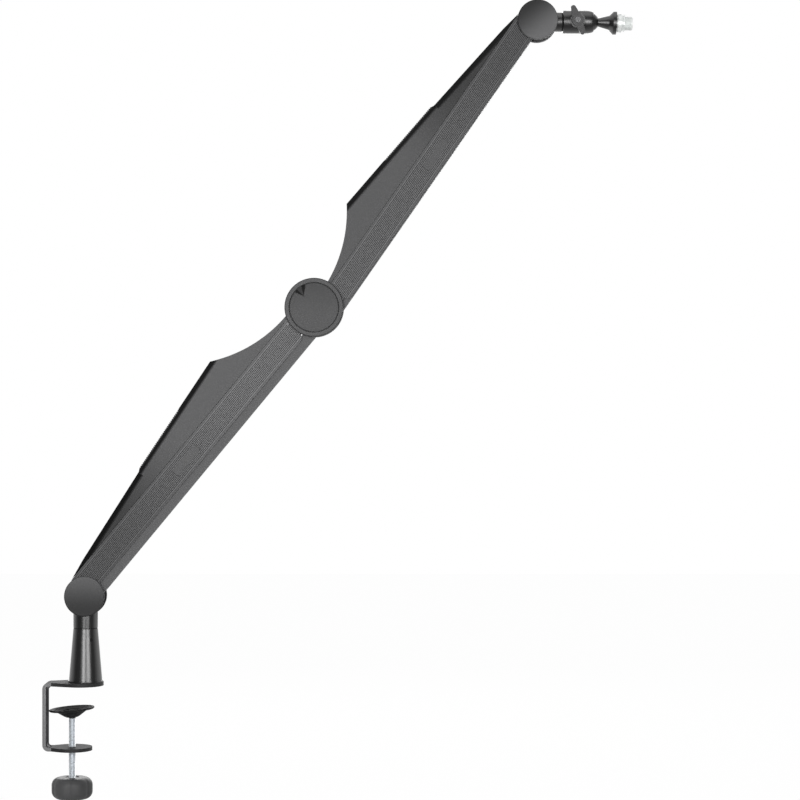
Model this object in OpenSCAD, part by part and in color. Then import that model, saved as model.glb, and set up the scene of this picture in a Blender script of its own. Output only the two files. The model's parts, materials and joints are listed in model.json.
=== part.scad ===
// Desk-clamped microphone boom arm with two parallelogram links.
// Axes: +X along the reach, +Z up, the front faces -Y.
// Origin: where the post's axis meets the underside of the clamp's upper plate.
// Each link is a parallelogram: a ribbed main link and a tie bar behind it keep
// the elbow and the head upright at every height.

/* [Desk clamp] */
// Thickness of the clamp's steel strip
strip_t = 4; // [3:0.5:5]
// Width of the clamp's back strip
strip_w = 25.5; // [22:0.5:28]
// Clear height inside the clamp
clamp_open = 70.5; // [66:0.5:80]
// Distance from the post's axis to the outer face of the back strip
clamp_back = 48; // [46:0.5:56]
// Outer radius of the strip's bends
bend_r = 7; // [5.5:0.5:9]
// Radius of the rounded upper plate
upper_plate_r = 25; // [23:0.5:27]
// How far the upper plate's centre lies behind the post's axis
upper_plate_back = 4.4; // [3:0.1:6]
// Radius of the rounded lower plate
lower_plate_r = 23; // [20:0.5:25]
// Distance from the post's axis back to the clamping screw
screw_back = 15.5; // [14.5:0.5:18]
// Diameter of the clamping screw
screw_d = 8; // [7:0.5:9]
// Diameter of the pressure pad
pad_d = 52; // [44:1:53]
// Depth of the pressure pad's ball below the upper plate, as it stands
pad_drop = 33.5; // [31:0.5:38]
// Rest tilt of the loose pressure pad in degrees
pad_tilt = 4.4; // [0:0.2:5]
// Diameter of the clamp's hand knob
knob_d = 47; // [40:1:52]
// Height of the clamp's hand knob
knob_h = 25; // [20:0.5:28]
// Length of screw that shows below the lower plate
screw_below = 31; // [25:0.5:40]

/* [Post] */
// Diameter of the post's foot
foot_d = 38; // [34:0.5:40]
// Diameter of the post at its top and of the turning neck
neck_d = 28; // [26:0.5:29]
// Height of the conical post above its foot ring
post_h = 59.5; // [55:0.5:80]
// Diameter of the steel pin on which the arm swivels
swivel_d = 12; // [10:0.5:14]

/* [Joints] */
// Height of the base joint's centre above the desk
base_z = 103; // [100:0.5:108]
// Diameter of the base and head discs
disc_d = 46; // [45:0.5:48]
// Diameter of the elbow disc
elbow_d = 67.5; // [66:0.5:70]
// Width of the rim round the elbow's knob
bezel_w = 4.9; // [4:0.1:5.4]
// Diameter of the link pins
pin_d = 8; // [7:0.5:8.5]
// Running clearance of a pin in its bore, on the radius
run = 0.05; // [0.03:0.01:0.08]
// Thickness of the joints' side plates
cheek_t = 2; // [1.5:0.25:2.5]
// Thickness of the round covers outside the side plates
cover_t = 2; // [1.8:0.1:2.5]

/* [Links] */
// Distance between the two pivots of each link
link_l = 400; // [380:1:420]
// Rest angle of the lower link above the desk
lower_pitch = 50.35; // [46:0.05:55]
// Rest angle of the upper link above the desk
upper_pitch = 55.15; // [50:0.05:60]
// Width of the ribbed rails
rail_w = 27.4; // [26.4:0.2:28]
// Thickness of the ribbed rails
rail_t = 2.5; // [2.2:0.1:3]
// Pitch of the ribs along the rails
rib_pitch = 1.8; // [1.6:0.1:2.4]
// Depth of the grooves between the ribs
rib_depth = 0.6; // [0.4:0.1:0.8]
// Width of the tie bars
tie_w = 13.4; // [12:0.2:13.6]
// Thickness of the tie bars' side straps
tie_t = 3; // [2.5:0.25:3]
// Length of the blank plate set into each front rail
badge_l = 40; // [30:1:50]
// Height of the blank plate
badge_w = 9.5; // [8:0.5:12]

/* [Spring housings] */
// Distance of the housing's tip from the elbow pivot
tip_u = 98; // [90:1:105]
// Height of the housing's tip above the rail's edge
tip_h = 37.8; // [34:0.2:40]
// Radius of the hollow curve that runs from the tip to the elbow
sweep_r = 158; // [150:1:170]
// Angle at which the housing's outer edge falls towards the thin end
edge_fall = 6; // [5:0.1:6.4]
// Wall of the housing's shells
shell_wall = 2; // [1.6:0.1:2.4]
// Width of the bevel along the housing's outer edge
bevel_w = 7; // [5:0.5:8]
// Length of the ribbed cable lid on the outer edge
lid_l = 85; // [60:1:90]

/* [Springs] */
// Radius of the coil, to the middle of the wire
coil_r = 4; // [3:0.1:4.1]
// Diameter of the spring wire
wire_d = 1.8; // [1.2:0.1:1.8]
// Turns in each spring
coil_turns = 28; // [16:1:30]

/* [Head] */
// Diameter of the head's neck
head_neck_d = 22; // [20:0.5:22]
// Diameter of the ball joint's housing
housing_d = 26.1; // [25.5:0.1:28]
// Diameter of the ball
ball_d = 21.6; // [20:0.1:21.6]
// Droop of the ball's stem at rest, in degrees
stem_droop = 2.3; // [0:0.1:5]
// Length of the ball's stem up to its collar
stem_l = 11.7; // [10:0.1:16]
// Diameter of the stem's collar
collar_d = 26.4; // [22:0.2:28]
// Outer diameter of the microphone thread
thread_d = 15.88; // [15.88:0.01:15.88]
// Length of the microphone thread
thread_l = 8.9; // [8:0.1:12]
// Length of the wing lever from tip to tip
wing_l = 35.4; // [30:0.2:38]
// Angle of the wing lever above the reach, in degrees
wing_angle = 111; // [90:1:130]

/* [Hidden] */
$fn = 48;

// Small distances that many pieces share
gap = 0.5;
skin = 0.1;
eps = 0.01;
big = 200;

// Layers of the joints, as distances from the middle plane
tongue_y = 3.5;
tie_in = tongue_y + gap;
tie_out = tie_in + tie_t;
rail_in = tie_out + 2 * gap;
rail_out = rail_in + rail_t;
cheek_in = rail_out + gap;
cheek_out = cheek_in + cheek_t;
cover_out = cheek_out + cover_t;
pin_r = pin_d / 2;
disc_r = disc_d / 2;
elbow_r = elbow_d / 2;
cover_skirt = 1.4;
cover_face = 1;

// Pivots, as [x, z]. Offsets are those between a pivot and its disc's centre
base_c = [0, base_z];
base_p = base_c + [-9.75, 3.5];
elbow_in = [-17.5, -19.6];
elbow_out = [23.7, 9.35];
head_off = [-3.9, 8.15];
lower_tie = [22.5, 0];
upper_tie = [-4.8, -22];
elbow_p = base_p + link_l * [cos(lower_pitch), sin(lower_pitch)];
elbow_c = elbow_p - elbow_in;
elbow_q = elbow_c + elbow_out;
head_p = elbow_q + link_l * [cos(upper_pitch), sin(upper_pitch)];
head_c = head_p - head_off;

// Hooks of the springs: one stands above each link's lower pivot
base_hook = base_p + [0, 11];
elbow_hook = elbow_q + [0, 8];
hook_r = 2;
hook_boss_r = 4;
hook_slot = wire_d / 2 + gap;

// Main link, in its own frame: u runs away from the elbow pivot, v towards the spring housing
half_w = rail_w / 2;
ear_r = 8.5;
end_r = 12.5;
strip_start = 8;
strip_corner = 5;
bush_r = pin_r + 1.5;
bush_flange_r = pin_r + 3;
bush_flange_t = gap - skin;
edge_band = 2;
badge_u = 202;
badge_corner = 2.5;
badge_play = 0.25;
badge_t = 0.8;
badge_floor = rail_out - rib_depth;

// Spring housing
shell_out = rail_out - 0.3;
seam_v = half_w + gap;
shell_start = 2;
shell_end = link_l - 10;
flange_v = 4.6;
flange_in = 5.5;
flange_u = [14, link_l - 25];
sweep_rise = 162 / 158 * sweep_r;
step_u = tip_u + 150;
thin_u = link_l - 35;
thin_h = 5.2;
thin_end = 0.6;
bevel_out = 6;
lid_start = step_u - lid_l;
lid_t = 2.1;
lid_y = 4.6;
lid_rib = 2.4;
lid_ramp = 5;

// Screws of the housing and rails, and the springs' anchor pins
screw_at = [[72, 20], [190, 29], [280, 23.5], [345, 16.8]];
rail_screw_u = [34, 120, 240, 330];
rail_screw_v = 8;
rail_screw_end = rail_out - 1.2;
boss_r = 3.2;
screw_r = 1.5;
screw_head_r = 2.6;
screw_head_t = 1.4;
lower_anchor = [125, 22];
upper_anchor = [300, 14];
anchor_r = 2;
anchor_boss_y = 3;
anchor_end = rail_in - skin;

// Tie bar
tie_web = 2.2;
tie_web_end = 15;

// Post
foot_t = 2;
post_z = strip_t + foot_t;
seam_z = post_z + post_h;
washer_t = 0.8;
hub_z = seam_z + washer_t + skin / 2;
neck_r = neck_d / 2;
swivel_r = swivel_d / 2;
bush_wall = 3;
bush_h = 8.5;
bolt_r = 5;
bolt_head_r = 9;
bolt_l = 18;
floor_z = base_p[1] - rail_w / 2 - gap;
swivel_top = hub_z + 15.5;
swivel_bottom = post_z + bolt_l + 5;
clip_t = 1.2;
clip_play = 0.05;
clip_z = swivel_bottom + 2.5;
bush_z = [clip_z + clip_t + 0.3, seam_z - bush_h];
set_z = seam_z - 12.3;
set_angle = 33;
set_r = 2;

// Base and head
cheek_r = disc_r - cover_skirt - skin;
pin_head_r = pin_r + 2;
pin_eye = pin_r + 3;
tie_eye = pin_r + 2;

// Clamp screw and pad
screw_r8 = screw_d / 2;
inner_x = -clamp_back + strip_t;
ball_r = 5.5;
ball_cut = 4.2;
spindle_pin_r = 3;
pad_r = pad_d / 2;
pad_top = 7.5;
pad_hub = 3;
pad_floor_in = [9.5, 4.2];
pad_floor_out = [pad_r - 5, 6.1];
lower_z = -clamp_open;
knob_top = lower_z - strip_t - screw_below;
socket_h = 12;

// Elbow
plate_r = elbow_r - cover_skirt - skin;
knob_r = elbow_r - bezel_w - 0.6;
core_r = 9;
sleeve_r = pin_r + 1.5;
stud_r = 3;
nut_t = 0.9;
knob_y = cheek_out + 0.45;
knob_dome = 1.6;
notch_at = [-11.5, 12.9];
notch_turn = 121;
notch_half = 40;
notch_l = 16;
notch_top = -1.3;
notch_floor = -3.2;
notch_clear = 3;

// Head
head_z = head_c[1] - 1;
head_floor = head_c[0] + 9.5;
neck_end = head_c[0] + 28;
neck_gap = 1.3;
spigot_r = 5;
spigot_l = 10;
housing_x = neck_end + neck_gap;
housing_r = housing_d / 2;
ball_R = ball_d / 2;
ball_x = housing_x + 31;
mouth_x = ball_x + 4;
mouth_r = 11.2;
taper_x = housing_x + 24;
wing_x = housing_x + 16.5;
seat_r = 9.8;
seat_x = ball_x - ball_R - 0.6;
plunger_r = 3.5;
plunger_x = wing_x - 4;
stem_r0 = 4.85;
stem_r1 = 8;
stem_x0 = 10.4;
collar_flare = 4.6;
collar_t = 4.1;
ring_gap = 1.2;
ring_r = [10.5, 9.7];
ring_t = [4.7, 2.3];
wing_y = housing_r + 1.7;
wing_t = 4.2;
wing_boss_r = 6.7;
wing_tip_r = 3;
wing_stud_r = 2.5;
wing_screw_r = 3.2;
wing_pad_r = 8.5;

// Extrudes an outline of the XZ plane from y0 to y1
module slab(y0, y1) {
    translate([0, y1, 0]) rotate([90, 0, 0]) linear_extrude(y1 - y0) children();
}

// Moves to a point of the XZ plane
module at(p) {
    translate([p[0], 0, p[1]]) children();
}

// A round bar along Y
module bar(r, y0, y1) {
    translate([0, y1, 0]) rotate([90, 0, 0]) cylinder(r = r, h = y1 - y0);
}

// A thing and its twin on the other side of the middle plane
module both() {
    children();
    mirror([0, 1, 0]) children();
}

module front() {
    mirror([0, 1, 0]) children();
}

// The two links are one design: the lower one is its mirror image
module on_lower() {
    at(elbow_p) rotate([0, -lower_pitch, 0]) mirror([1, 0, 0]) children();
}

module on_upper() {
    at(elbow_q) rotate([0, -upper_pitch, 0]) children();
}

// A point of the lower or upper link's frame for a point of the XZ plane
function lower_uv(p) = let (d = p - elbow_p)
    [-d[0] * cos(lower_pitch) - d[1] * sin(lower_pitch),
     -d[0] * sin(lower_pitch) + d[1] * cos(lower_pitch)];
function upper_uv(p) = let (d = p - elbow_q)
    [d[0] * cos(upper_pitch) + d[1] * sin(upper_pitch),
     -d[0] * sin(upper_pitch) + d[1] * cos(upper_pitch)];

// Where the straight line from p touches the circle of radius r about c, on the +Y side
function tangent_point(p, c, r) = let (d = p - c, a = atan2(d[1], d[0]), b = acos(r / norm(d)))
    c + r * [cos(a - b), sin(a - b)];

// Clamp
module plate_outline(cx, r) {
    start = [-clamp_back + bend_r + 3, strip_w / 2];
    touch = tangent_point(start, [cx, 0], r);
    translate([cx, 0]) circle(r = r, $fn = 96);
    polygon([start, touch, [cx, 0], [touch[0], -touch[1]], [start[0], -start[1]]]);
    translate([-clamp_back + bend_r, -strip_w / 2]) square([bend_r, strip_w]);
}

// The strip's outline seen from the front, with its two bends
module strip_outline(x0, z0, z1, r, length) {
    for (z = [z0 + r, z1 - r]) translate([x0 + r, z]) circle(r = r);
    translate([x0, z0 + r]) square([length, z1 - z0 - 2 * r]);
    translate([x0 + r, z0]) square([length - r, z1 - z0]);
}

// A dent pressed into each bend from outside stiffens it and stands proud inside
module bend_dent(in, h) {
    r = 2.6;
    for (side = [1, -1]) {
        z = side > 0 ? strip_t : lower_z - strip_t;
        translate([in - clamp_back, 0, z - side * in]) rotate([0, side * 45, 0])
            cylinder(r = r, h = h, center = true);
    }
}

module clamp_frame() {
    color("#3a3b3d") difference() {
        union() {
            slab(-strip_w / 2, strip_w / 2) difference() {
                strip_outline(-clamp_back, lower_z - strip_t, strip_t, bend_r, bend_r * 2);
                strip_outline(inner_x, lower_z, 0, bend_r - strip_t, big);
            }
            linear_extrude(strip_t) plate_outline(-upper_plate_back, upper_plate_r);
            translate([0, 0, lower_z - strip_t]) linear_extrude(strip_t)
                plate_outline(-screw_back, lower_plate_r);
            bend_dent(bend_r - (bend_r - strip_t) * cos(45), 2 * strip_t);
        }
        bend_dent(bend_r * 0.2, 16);
        translate([0, 0, -eps]) cylinder(r1 = bolt_head_r, r2 = bolt_r, h = strip_t);
        cylinder(r = bolt_r, h = strip_t + 1);
        translate([-screw_back, 0, lower_z - strip_t - 1])
            cylinder(r = screw_r8 + run, h = strip_t + 2);
    }
}

module foot_ring() color("#151516") translate([0, 0, strip_t]) difference() {
    cylinder(d = foot_d + 2, h = foot_t);
    translate([0, 0, -1]) cylinder(r = bolt_r, h = foot_t + 2);
}

module post_cone() color("#1c1c1e") difference() {
    translate([0, 0, post_z]) cylinder(d1 = foot_d, d2 = neck_d, h = post_h, $fn = 96);
    translate([0, 0, post_z - 1]) cylinder(r = bolt_r, h = bolt_l + 2);
    translate([0, 0, post_z + bolt_l]) cylinder(r = swivel_r + bush_wall, h = post_h);
    set_screw_place() cylinder(r = set_r, h = foot_d);
}

// Countersunk bolt that holds the post down from under the plate
module post_bolt() color("#8b8d90") difference() {
    union() {
        translate([0, 0, strip_t - eps]) cylinder(r = bolt_r, h = foot_t + bolt_l - 1);
        cylinder(r1 = bolt_head_r, r2 = bolt_r, h = strip_t);
    }
    translate([0, 0, -1]) cylinder(r = 3, h = 3.5, $fn = 6);
}

module post_bushes() color("#c9c4b5") for (z = bush_z) translate([0, 0, z]) difference() {
    cylinder(r = swivel_r + bush_wall, h = bush_h);
    translate([0, 0, -1]) cylinder(r = swivel_r + run, h = bush_h + 2);
}

module set_screw_place() {
    translate([0, 0, set_z]) rotate([0, 90, set_angle - 90]) children();
}

module set_screw() {
    wall_r = neck_d / 2 + (seam_z - set_z) / post_h * (foot_d - neck_d) / 2;
    tip = swivel_r + 0.35;
    color("#b9bbbd") set_screw_place() difference() {
        translate([0, 0, tip]) cylinder(r = set_r, h = wall_r - tip - 0.6);
        translate([0, 0, wall_r - 2.2]) cylinder(r = 1, h = 3, $fn = 6);
    }
}

module swivel_washer() color("#0f0f10") translate([0, 0, seam_z]) difference() {
    cylinder(r = neck_r - 0.7, h = washer_t);
    translate([0, 0, -1]) cylinder(r = swivel_r + skin, h = washer_t + 2);
}

// Clamping screw, in the frame of its ball
module at_ball() {
    translate([-screw_back, 0, -pad_drop]) children();
}

module thrust_ball() color("#b8a46a") at_ball() difference() {
    intersection() {
        sphere(r = ball_r);
        cube([big, big, 2 * ball_cut], center = true);
    }
    cylinder(r = spindle_pin_r + run, h = 3 * ball_r, center = true);
}

module clamp_spindle() {
    shoulder = pad_drop + ball_cut + skin;
    color("#c9ced3") {
        translate([-screw_back, 0, knob_top - socket_h])
            cylinder(r = screw_r8, h = -shoulder - knob_top + socket_h);
        translate([-screw_back, 0, -shoulder - eps])
            cylinder(r = spindle_pin_r, h = 2 * (ball_cut + skin) + eps);
    }
}

module spindle_rivet() color("#c9ced3") at_ball() translate([0, 0, ball_cut + skin])
    cylinder(r1 = 4.3, r2 = 3.6, h = 1.2);

// Broad flutes round a puck with well rounded edges
module clamp_knob() {
    r = 9.5;
    flutes = 6;
    flute_r = 9;
    flute_in = 2.2;
    color("#333436") translate([-screw_back, 0, knob_top - knob_h]) difference() {
        rotate_extrude($fn = 96) {
            translate([knob_d / 2 - r, r]) circle(r = r);
            translate([knob_d / 2 - r, knob_h - r]) circle(r = r);
            square([knob_d / 2 - r, knob_h]);
            translate([0, r]) square([knob_d / 2, knob_h - 2 * r]);
        }
        for (i = [0:flutes - 1]) rotate([0, 0, (i + 0.5) * 360 / flutes])
            translate([knob_d / 2 + flute_r - flute_in, 0, -1]) cylinder(r = flute_r, h = knob_h + 2);
        translate([0, 0, knob_h - socket_h]) cylinder(r = screw_r8, h = socket_h + 1);
    }
}

// Dished steel pad that rocks on the thrust ball
module pressure_pad() {
    color("#161617") at_ball() rotate([0, -pad_tilt, 0]) difference() {
        rotate_extrude($fn = 96) polygon([
            [0, -pad_hub], [6.6, -pad_hub], [9, 1.2 - pad_hub], [15, pad_hub - 0.8],
            [17.5, pad_hub + 1], [pad_r - 1, pad_top - 2.4], [pad_r, pad_top - 1.6],
            [pad_r, pad_top - 0.6], [pad_r - 0.8, pad_top], [pad_r - 2.5, pad_top],
            pad_floor_out, pad_floor_in, [8, pad_hub], [0, pad_hub]
        ]);
        sphere(r = ball_r + run);
    }
}

module pad_lining() {
    slope = (pad_floor_out[1] - pad_floor_in[1]) / (pad_floor_out[0] - pad_floor_in[0]);
    a = pad_floor_in + [1, slope];
    b = pad_floor_out - [1, slope];
    t = [0, 0.8];
    color("#0c0c0d") at_ball() rotate([0, -pad_tilt, 0]) rotate_extrude($fn = 96)
        polygon([a, b, b + t, a + t]);
}

// Turning base: neck, fork and middle tongue in one casting
module cap_room(r) {
    both() bar(r + skin, cheek_in - skin, big);
}

module fork_cheeks() {
    both() bar(cheek_r, cheek_in, cheek_out);
}

module base_hub() {
    tie_p = base_p + lower_tie;
    reach = base_z - floor_z;
    color("#47484a") difference() {
        union() {
            difference() {
                translate([0, 0, hub_z]) cylinder(r = neck_r, h = floor_z - hub_z, $fn = 96);
                at(base_c) cap_room(disc_r);
            }
            at(base_c) fork_cheeks();
            at(base_c) intersection() {
                bar(cheek_r, -cheek_out, cheek_out);
                translate([-big / 2, -big / 2, -big - reach]) cube(big);
            }
            slab(-tongue_y, tongue_y) {
                polygon([[-neck_r, floor_z - 1], [neck_r + 2, floor_z - 1], tie_p + [5, -3],
                         tie_p + [0, 6], base_hook + [hook_boss_r, 0],
                         base_hook - [hook_boss_r, 0], base_p - [pin_eye, 0]]);
                translate(base_hook) circle(r = hook_boss_r);
                translate(base_p) circle(r = pin_eye);
                translate(tie_p) circle(r = tie_eye);
            }
        }
        translate([0, 0, hub_z - 1]) cylinder(r = swivel_r, h = swivel_top - hub_z + 1);
        at(base_p) bar(pin_r, -big, big);
        at(tie_p) bar(pin_r, -big, big);
        hook_cuts(base_hook);
    }
}

// Bore for the hook pin, and the slot in which the spring's eye lies
module hook_cuts(p) {
    at(p) {
        bar(hook_r, -big, big);
        bar(hook_boss_r + 2, -hook_slot, hook_slot);
    }
}

module swivel_pin() color("#9b9da0") difference() {
    translate([0, 0, swivel_bottom]) cylinder(r = swivel_r, h = swivel_top - swivel_bottom);
    translate([0, 0, clip_z - clip_play]) difference() {
        cylinder(r = swivel_r + 1, h = clip_t + 2 * clip_play);
        translate([0, 0, -1]) cylinder(r = swivel_r - 1, h = clip_t + 3);
    }
}

module swivel_clip() color("#2a2a2c") translate([0, 0, clip_z]) difference() {
    cylinder(r = swivel_r + bush_wall - 0.8, h = clip_t);
    translate([0, 0, -1]) cylinder(r = swivel_r - 1, h = clip_t + 2);
    translate([0, -1, -1]) cube([big, 2, clip_t + 2]);
}

// A pin right through both cheeks, with flat heads under the covers
module headed_pin() {
    bar(pin_r, -cheek_out, cheek_out);
    both() bar(pin_head_r, cheek_out, cover_out - cover_face - skin);
}

module base_pins() color("#9b9da0") {
    at(base_p) headed_pin();
    at(base_p + lower_tie) bar(pin_r, -tie_out - gap, tie_out + gap);
    at(base_hook) bar(hook_r, -tongue_y, tongue_y);
}

// Round cover that snaps over a side plate and hides the pins' ends
module cover(r, inner) {
    edge = 0.8;
    difference() {
        union() {
            bar(r, cheek_in, cover_out - edge);
            translate([0, cover_out - edge, 0]) rotate([-90, 0, 0])
                cylinder(r1 = r, r2 = r - edge, h = edge, $fn = 96);
        }
        bar(r - cover_skirt, cheek_in - 1, inner);
    }
}

module base_caps() color("#525355") at(base_c) both() cover(disc_r, cover_out - cover_face);

// Main link. Section of a rail: x is the depth, y runs across it, a groove beside each rib
module rail_section() {
    n = floor((rail_w - 2 * edge_band) / rib_pitch);
    groove = rib_pitch / 2;
    difference() {
        translate([rail_in, -half_w]) square([rail_t, rail_w]);
        for (i = [0:n - 1])
            translate([rail_out - rib_depth, (i + 0.25 - n / 2) * rib_pitch])
                square([rib_depth + 1, groove]);
    }
}

module strip_shape() {
    c = strip_corner;
    difference() {
        union() {
            translate([strip_start + c, -half_w]) square([link_l - 8 - strip_start - c, rail_w]);
            translate([strip_start, c - half_w]) square([c + 1, rail_w - c]);
            translate([strip_start + c, c - half_w]) circle(r = c);
            translate([link_l, 0]) circle(r = end_r);
            translate([0, -ear_r]) square([strip_start + 2, 2 * ear_r]);
            circle(r = ear_r);
        }
        circle(r = bush_r);
        translate([link_l, 0]) circle(r = bush_r);
    }
}

module badge_shape(grow) {
    c = badge_corner;
    l = badge_l + 2 * grow;
    w = badge_w + 2 * grow;
    translate([badge_u, 0]) {
        for (x = [-1, 1], y = [-1, 1]) translate([x * (l / 2 - c), y * (w / 2 - c)]) circle(r = c);
        square([l, w - 2 * c], center = true);
        square([l - 2 * c, w], center = true);
    }
}

// The rear rail of a link; the front one is its mirror image
module rail(badge) {
    ends = [-ear_r - 1, link_l + end_r + 1];
    difference() {
        intersection() {
            translate([ends[0], 0, 0]) rotate([90, 0, 90]) linear_extrude(ends[1] - ends[0])
                rail_section();
            slab(rail_in - 1, rail_out + 1) strip_shape();
        }
        if (badge) slab(badge_floor, rail_out + 1) badge_shape(badge_play);
        for (u = rail_screw_u) at([u, rail_screw_v]) bar(screw_r, rail_in - 1, rail_screw_end);
    }
}

module badge() front() slab(badge_floor, badge_floor + badge_t) badge_shape(0);

// Flanged bushes of both rails, at both pivots
module bushes() for (u = [0, link_l]) at([u, 0]) both() difference() {
    union() {
        bar(bush_r, rail_in - 0.3, rail_out);
        bar(bush_flange_r, rail_out, rail_out + bush_flange_t);
    }
    bar(pin_r + run, rail_in - 1, cheek_out);
}

// Height of the housing's outer edge above the rail's edge
function edge_h(u) = tip_h - (u - tip_u) * tan(edge_fall);

// Outline of the housing, drawn in by a wall where it is the cavity's
module housing_outline(inset) {
    start = shell_start + inset;
    v = half_w - inset;
    difference() {
        polygon([
            [start, seam_v], [start, v + tip_h + 20], [tip_u, v + tip_h],
            [lid_start, v + edge_h(lid_start)], [lid_start, v + edge_h(lid_start) - lid_t],
            [step_u, v + edge_h(step_u) - lid_t], [thin_u, v + thin_h],
            [shell_end, max(v + thin_end, seam_v)], [shell_end, seam_v]
        ]);
        translate([0, half_w + sweep_rise]) circle(r = sweep_r + inset, $fn = 180);
    }
}

// Takes the bevel off the outer face along a straight edge from a to b. A sunk one bounds the cavity
module bevel_cut(a, b, over, sunk = 0) {
    d = b - a;
    drop = shell_out - bevel_out;
    at(a) rotate([0, -atan2(d[1], d[0]), 0]) translate([-over[0], -sunk, 0]) rotate([90, 0, 90])
        linear_extrude(norm(d) + over[0] + over[1])
            polygon([[shell_out + drop, -2 * bevel_w], [bevel_out - drop, bevel_w],
                     [shell_out + drop, bevel_w]]);
}

module bevel_cuts(sunk = 0) {
    tip = [tip_u, half_w + tip_h];
    step_a = [step_u, half_w + edge_h(step_u)];
    step_b = step_a - [0, lid_t];
    thin = [thin_u, half_w + thin_h];
    bevel_cut(tip, step_a, [tip_u, 0], sunk);
    bevel_cut(step_b, thin, [0, link_l], sunk);
}

// The rear half of a housing; the front half is its mirror image, with blind screw holes
module shell(anchor, rear) {
    inside = shell_out - shell_wall;
    difference() {
        union() {
            difference() {
                slab(skin / 2, shell_out) housing_outline(0);
                difference() {
                    slab(-1, inside) intersection() {
                        housing_outline(shell_wall);
                        translate([0, seam_v + shell_wall]) square([link_l, big]);
                    }
                    bevel_cuts(shell_wall);
                }
                slab(-1, flange_in) translate([shell_start + shell_wall, 0])
                    square([link_l, seam_v + shell_wall + eps]);
            }
            slab(flange_in, rail_in) translate([flange_u[0], flange_v])
                square([flange_u[1] - flange_u[0], seam_v - flange_v + shell_wall]);
            for (p = screw_at) at(p) bar(boss_r, skin / 2, inside + eps);
            at(anchor) bar(anchor_r + 2, anchor_boss_y, inside);
        }
        bevel_cuts();
        at(anchor) bar(anchor_r, 0, anchor_end);
        for (p = screw_at) at(p) if (rear) {
            bar(screw_r + skin, -1, shell_out);
            bar(screw_head_r + skin, inside, shell_out + 1);
        } else bar(screw_r, -1, inside - 1);
        for (u = rail_screw_u) at([u, rail_screw_v]) {
            bar(screw_r + skin, 0, rail_in + 1);
            bar(screw_head_r + skin, flange_in - 1, flange_in + screw_head_t);
        }
    }
}

// Ribbed lid over the cable channel in the housing's outer edge
module cable_lid() {
    l = step_u - lid_start;
    n = floor((l - 2 * lid_rib) / lid_rib);
    at([lid_start, half_w + edge_h(lid_start)]) rotate([0, edge_fall, 0]) difference() {
        slab(-lid_y, lid_y) polygon([
            [gap, 0], [l / cos(edge_fall) - lid_ramp, 0],
            [l / cos(edge_fall), skin / 2 - lid_t * cos(edge_fall)],
            [gap, skin / 2 - lid_t * cos(edge_fall)]
        ]);
        for (i = [1:n]) translate([i * lid_rib, -lid_y - 1, -rib_depth])
            cube([lid_rib / 2, 2 * lid_y + 2, rib_depth + 1]);
    }
}

// Screws of the housing and of the rails, and the pin that anchors the spring
module fixings(anchor) {
    inside = shell_out - shell_wall;
    for (p = screw_at) at(p) difference() {
        union() {
            bar(screw_r, 1 - inside, inside + skin);
            bar(screw_head_r, inside + skin, shell_out - 2 * skin);
        }
        translate([0, shell_out, 0]) rotate([90, 0, 0]) cylinder(r = 1.2, h = 1.4, $fn = 6);
    }
    for (u = rail_screw_u) at([u, rail_screw_v]) both() {
        bar(screw_r, flange_in + skin, rail_screw_end);
        bar(screw_head_r, flange_in + skin, flange_in + screw_head_t);
    }
    at(anchor) bar(anchor_r, -anchor_end, anchor_end);
}

// Tension spring between two pins of one link: an eye, a straight lead, the coil and the same again
eye_r = hook_r + wire_d / 2 + skin;
eye_steps = 10;
ring_steps = 8;
wire_sides = 6;
function eye(x, from) = [for (i = [0:eye_steps]) let (a = from + 260 * i / eye_steps)
    [x + eye_r * cos(a), 0, eye_r * sin(a)]];
function lead(x0, x1, z0, z1) = let (n = ceil((x1 - x0) / 12))
    [for (i = [1:n - 1]) [x0 + (x1 - x0) * i / n, 0, z0 + (z1 - z0) * i / n]];
function coil(x0, x1) = let (n = coil_turns * ring_steps)
    [for (i = [0:n]) let (a = i * 360 / ring_steps - 90)
        [x0 + (x1 - x0) * i / n, coil_r * cos(a), coil_r * sin(a)]];
function spring_path(l, x0, x1) = concat(
    eye(0, 10), lead(0, x0, -eye_r, -coil_r), coil(x0, x1), lead(x1, l, -coil_r, -eye_r),
    eye(l, -90));
function unit(v) = v / norm(v);
function tangents(p) = [for (i = [0:len(p) - 1])
    unit(p[min(i + 1, len(p) - 1)] - p[max(i - 1, 0)])];
function carried(n, t) = unit(n - (n * t) * t);
function normals(t) = [for (i = 0, n = carried([0, 1, 0], t[0]); i < len(t);
    i = i + 1, n = i < len(t) ? carried(n, t[i]) : n) n];
function wire_points(p) = let (t = tangents(p), n = normals(t))
    [for (i = [0:len(p) - 1], j = [0:wire_sides - 1]) let (a = 360 * j / wire_sides)
        p[i] + wire_d / 2 * (cos(a) * n[i] + sin(a) * cross(t[i], n[i]))];
function wire_faces(rings) = let (s = wire_sides) concat(
    [for (j = [1:s - 2]) [0, j, j + 1]],
    [for (i = [0:rings - 2], j = [0:s - 1]) let (a = i * s + j, b = i * s + (j + 1) % s)
        each [[a, a + s, b], [b, a + s, b + s]]],
    [for (j = [1:s - 2]) let (a = (rings - 1) * s) [a, a + j + 1, a + j]]);

module spring(hook, anchor, x0, x1) {
    d = anchor - hook;
    path = spring_path(norm(d), x0, x1);
    turn_gap = (x1 - x0) / coil_turns - wire_d;
    echo(least_gap_between_turns = turn_gap);
    at(hook) rotate([0, -atan2(d[1], d[0]), 0])
        polyhedron(points = wire_points(path), faces = wire_faces(len(path)));
}

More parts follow.
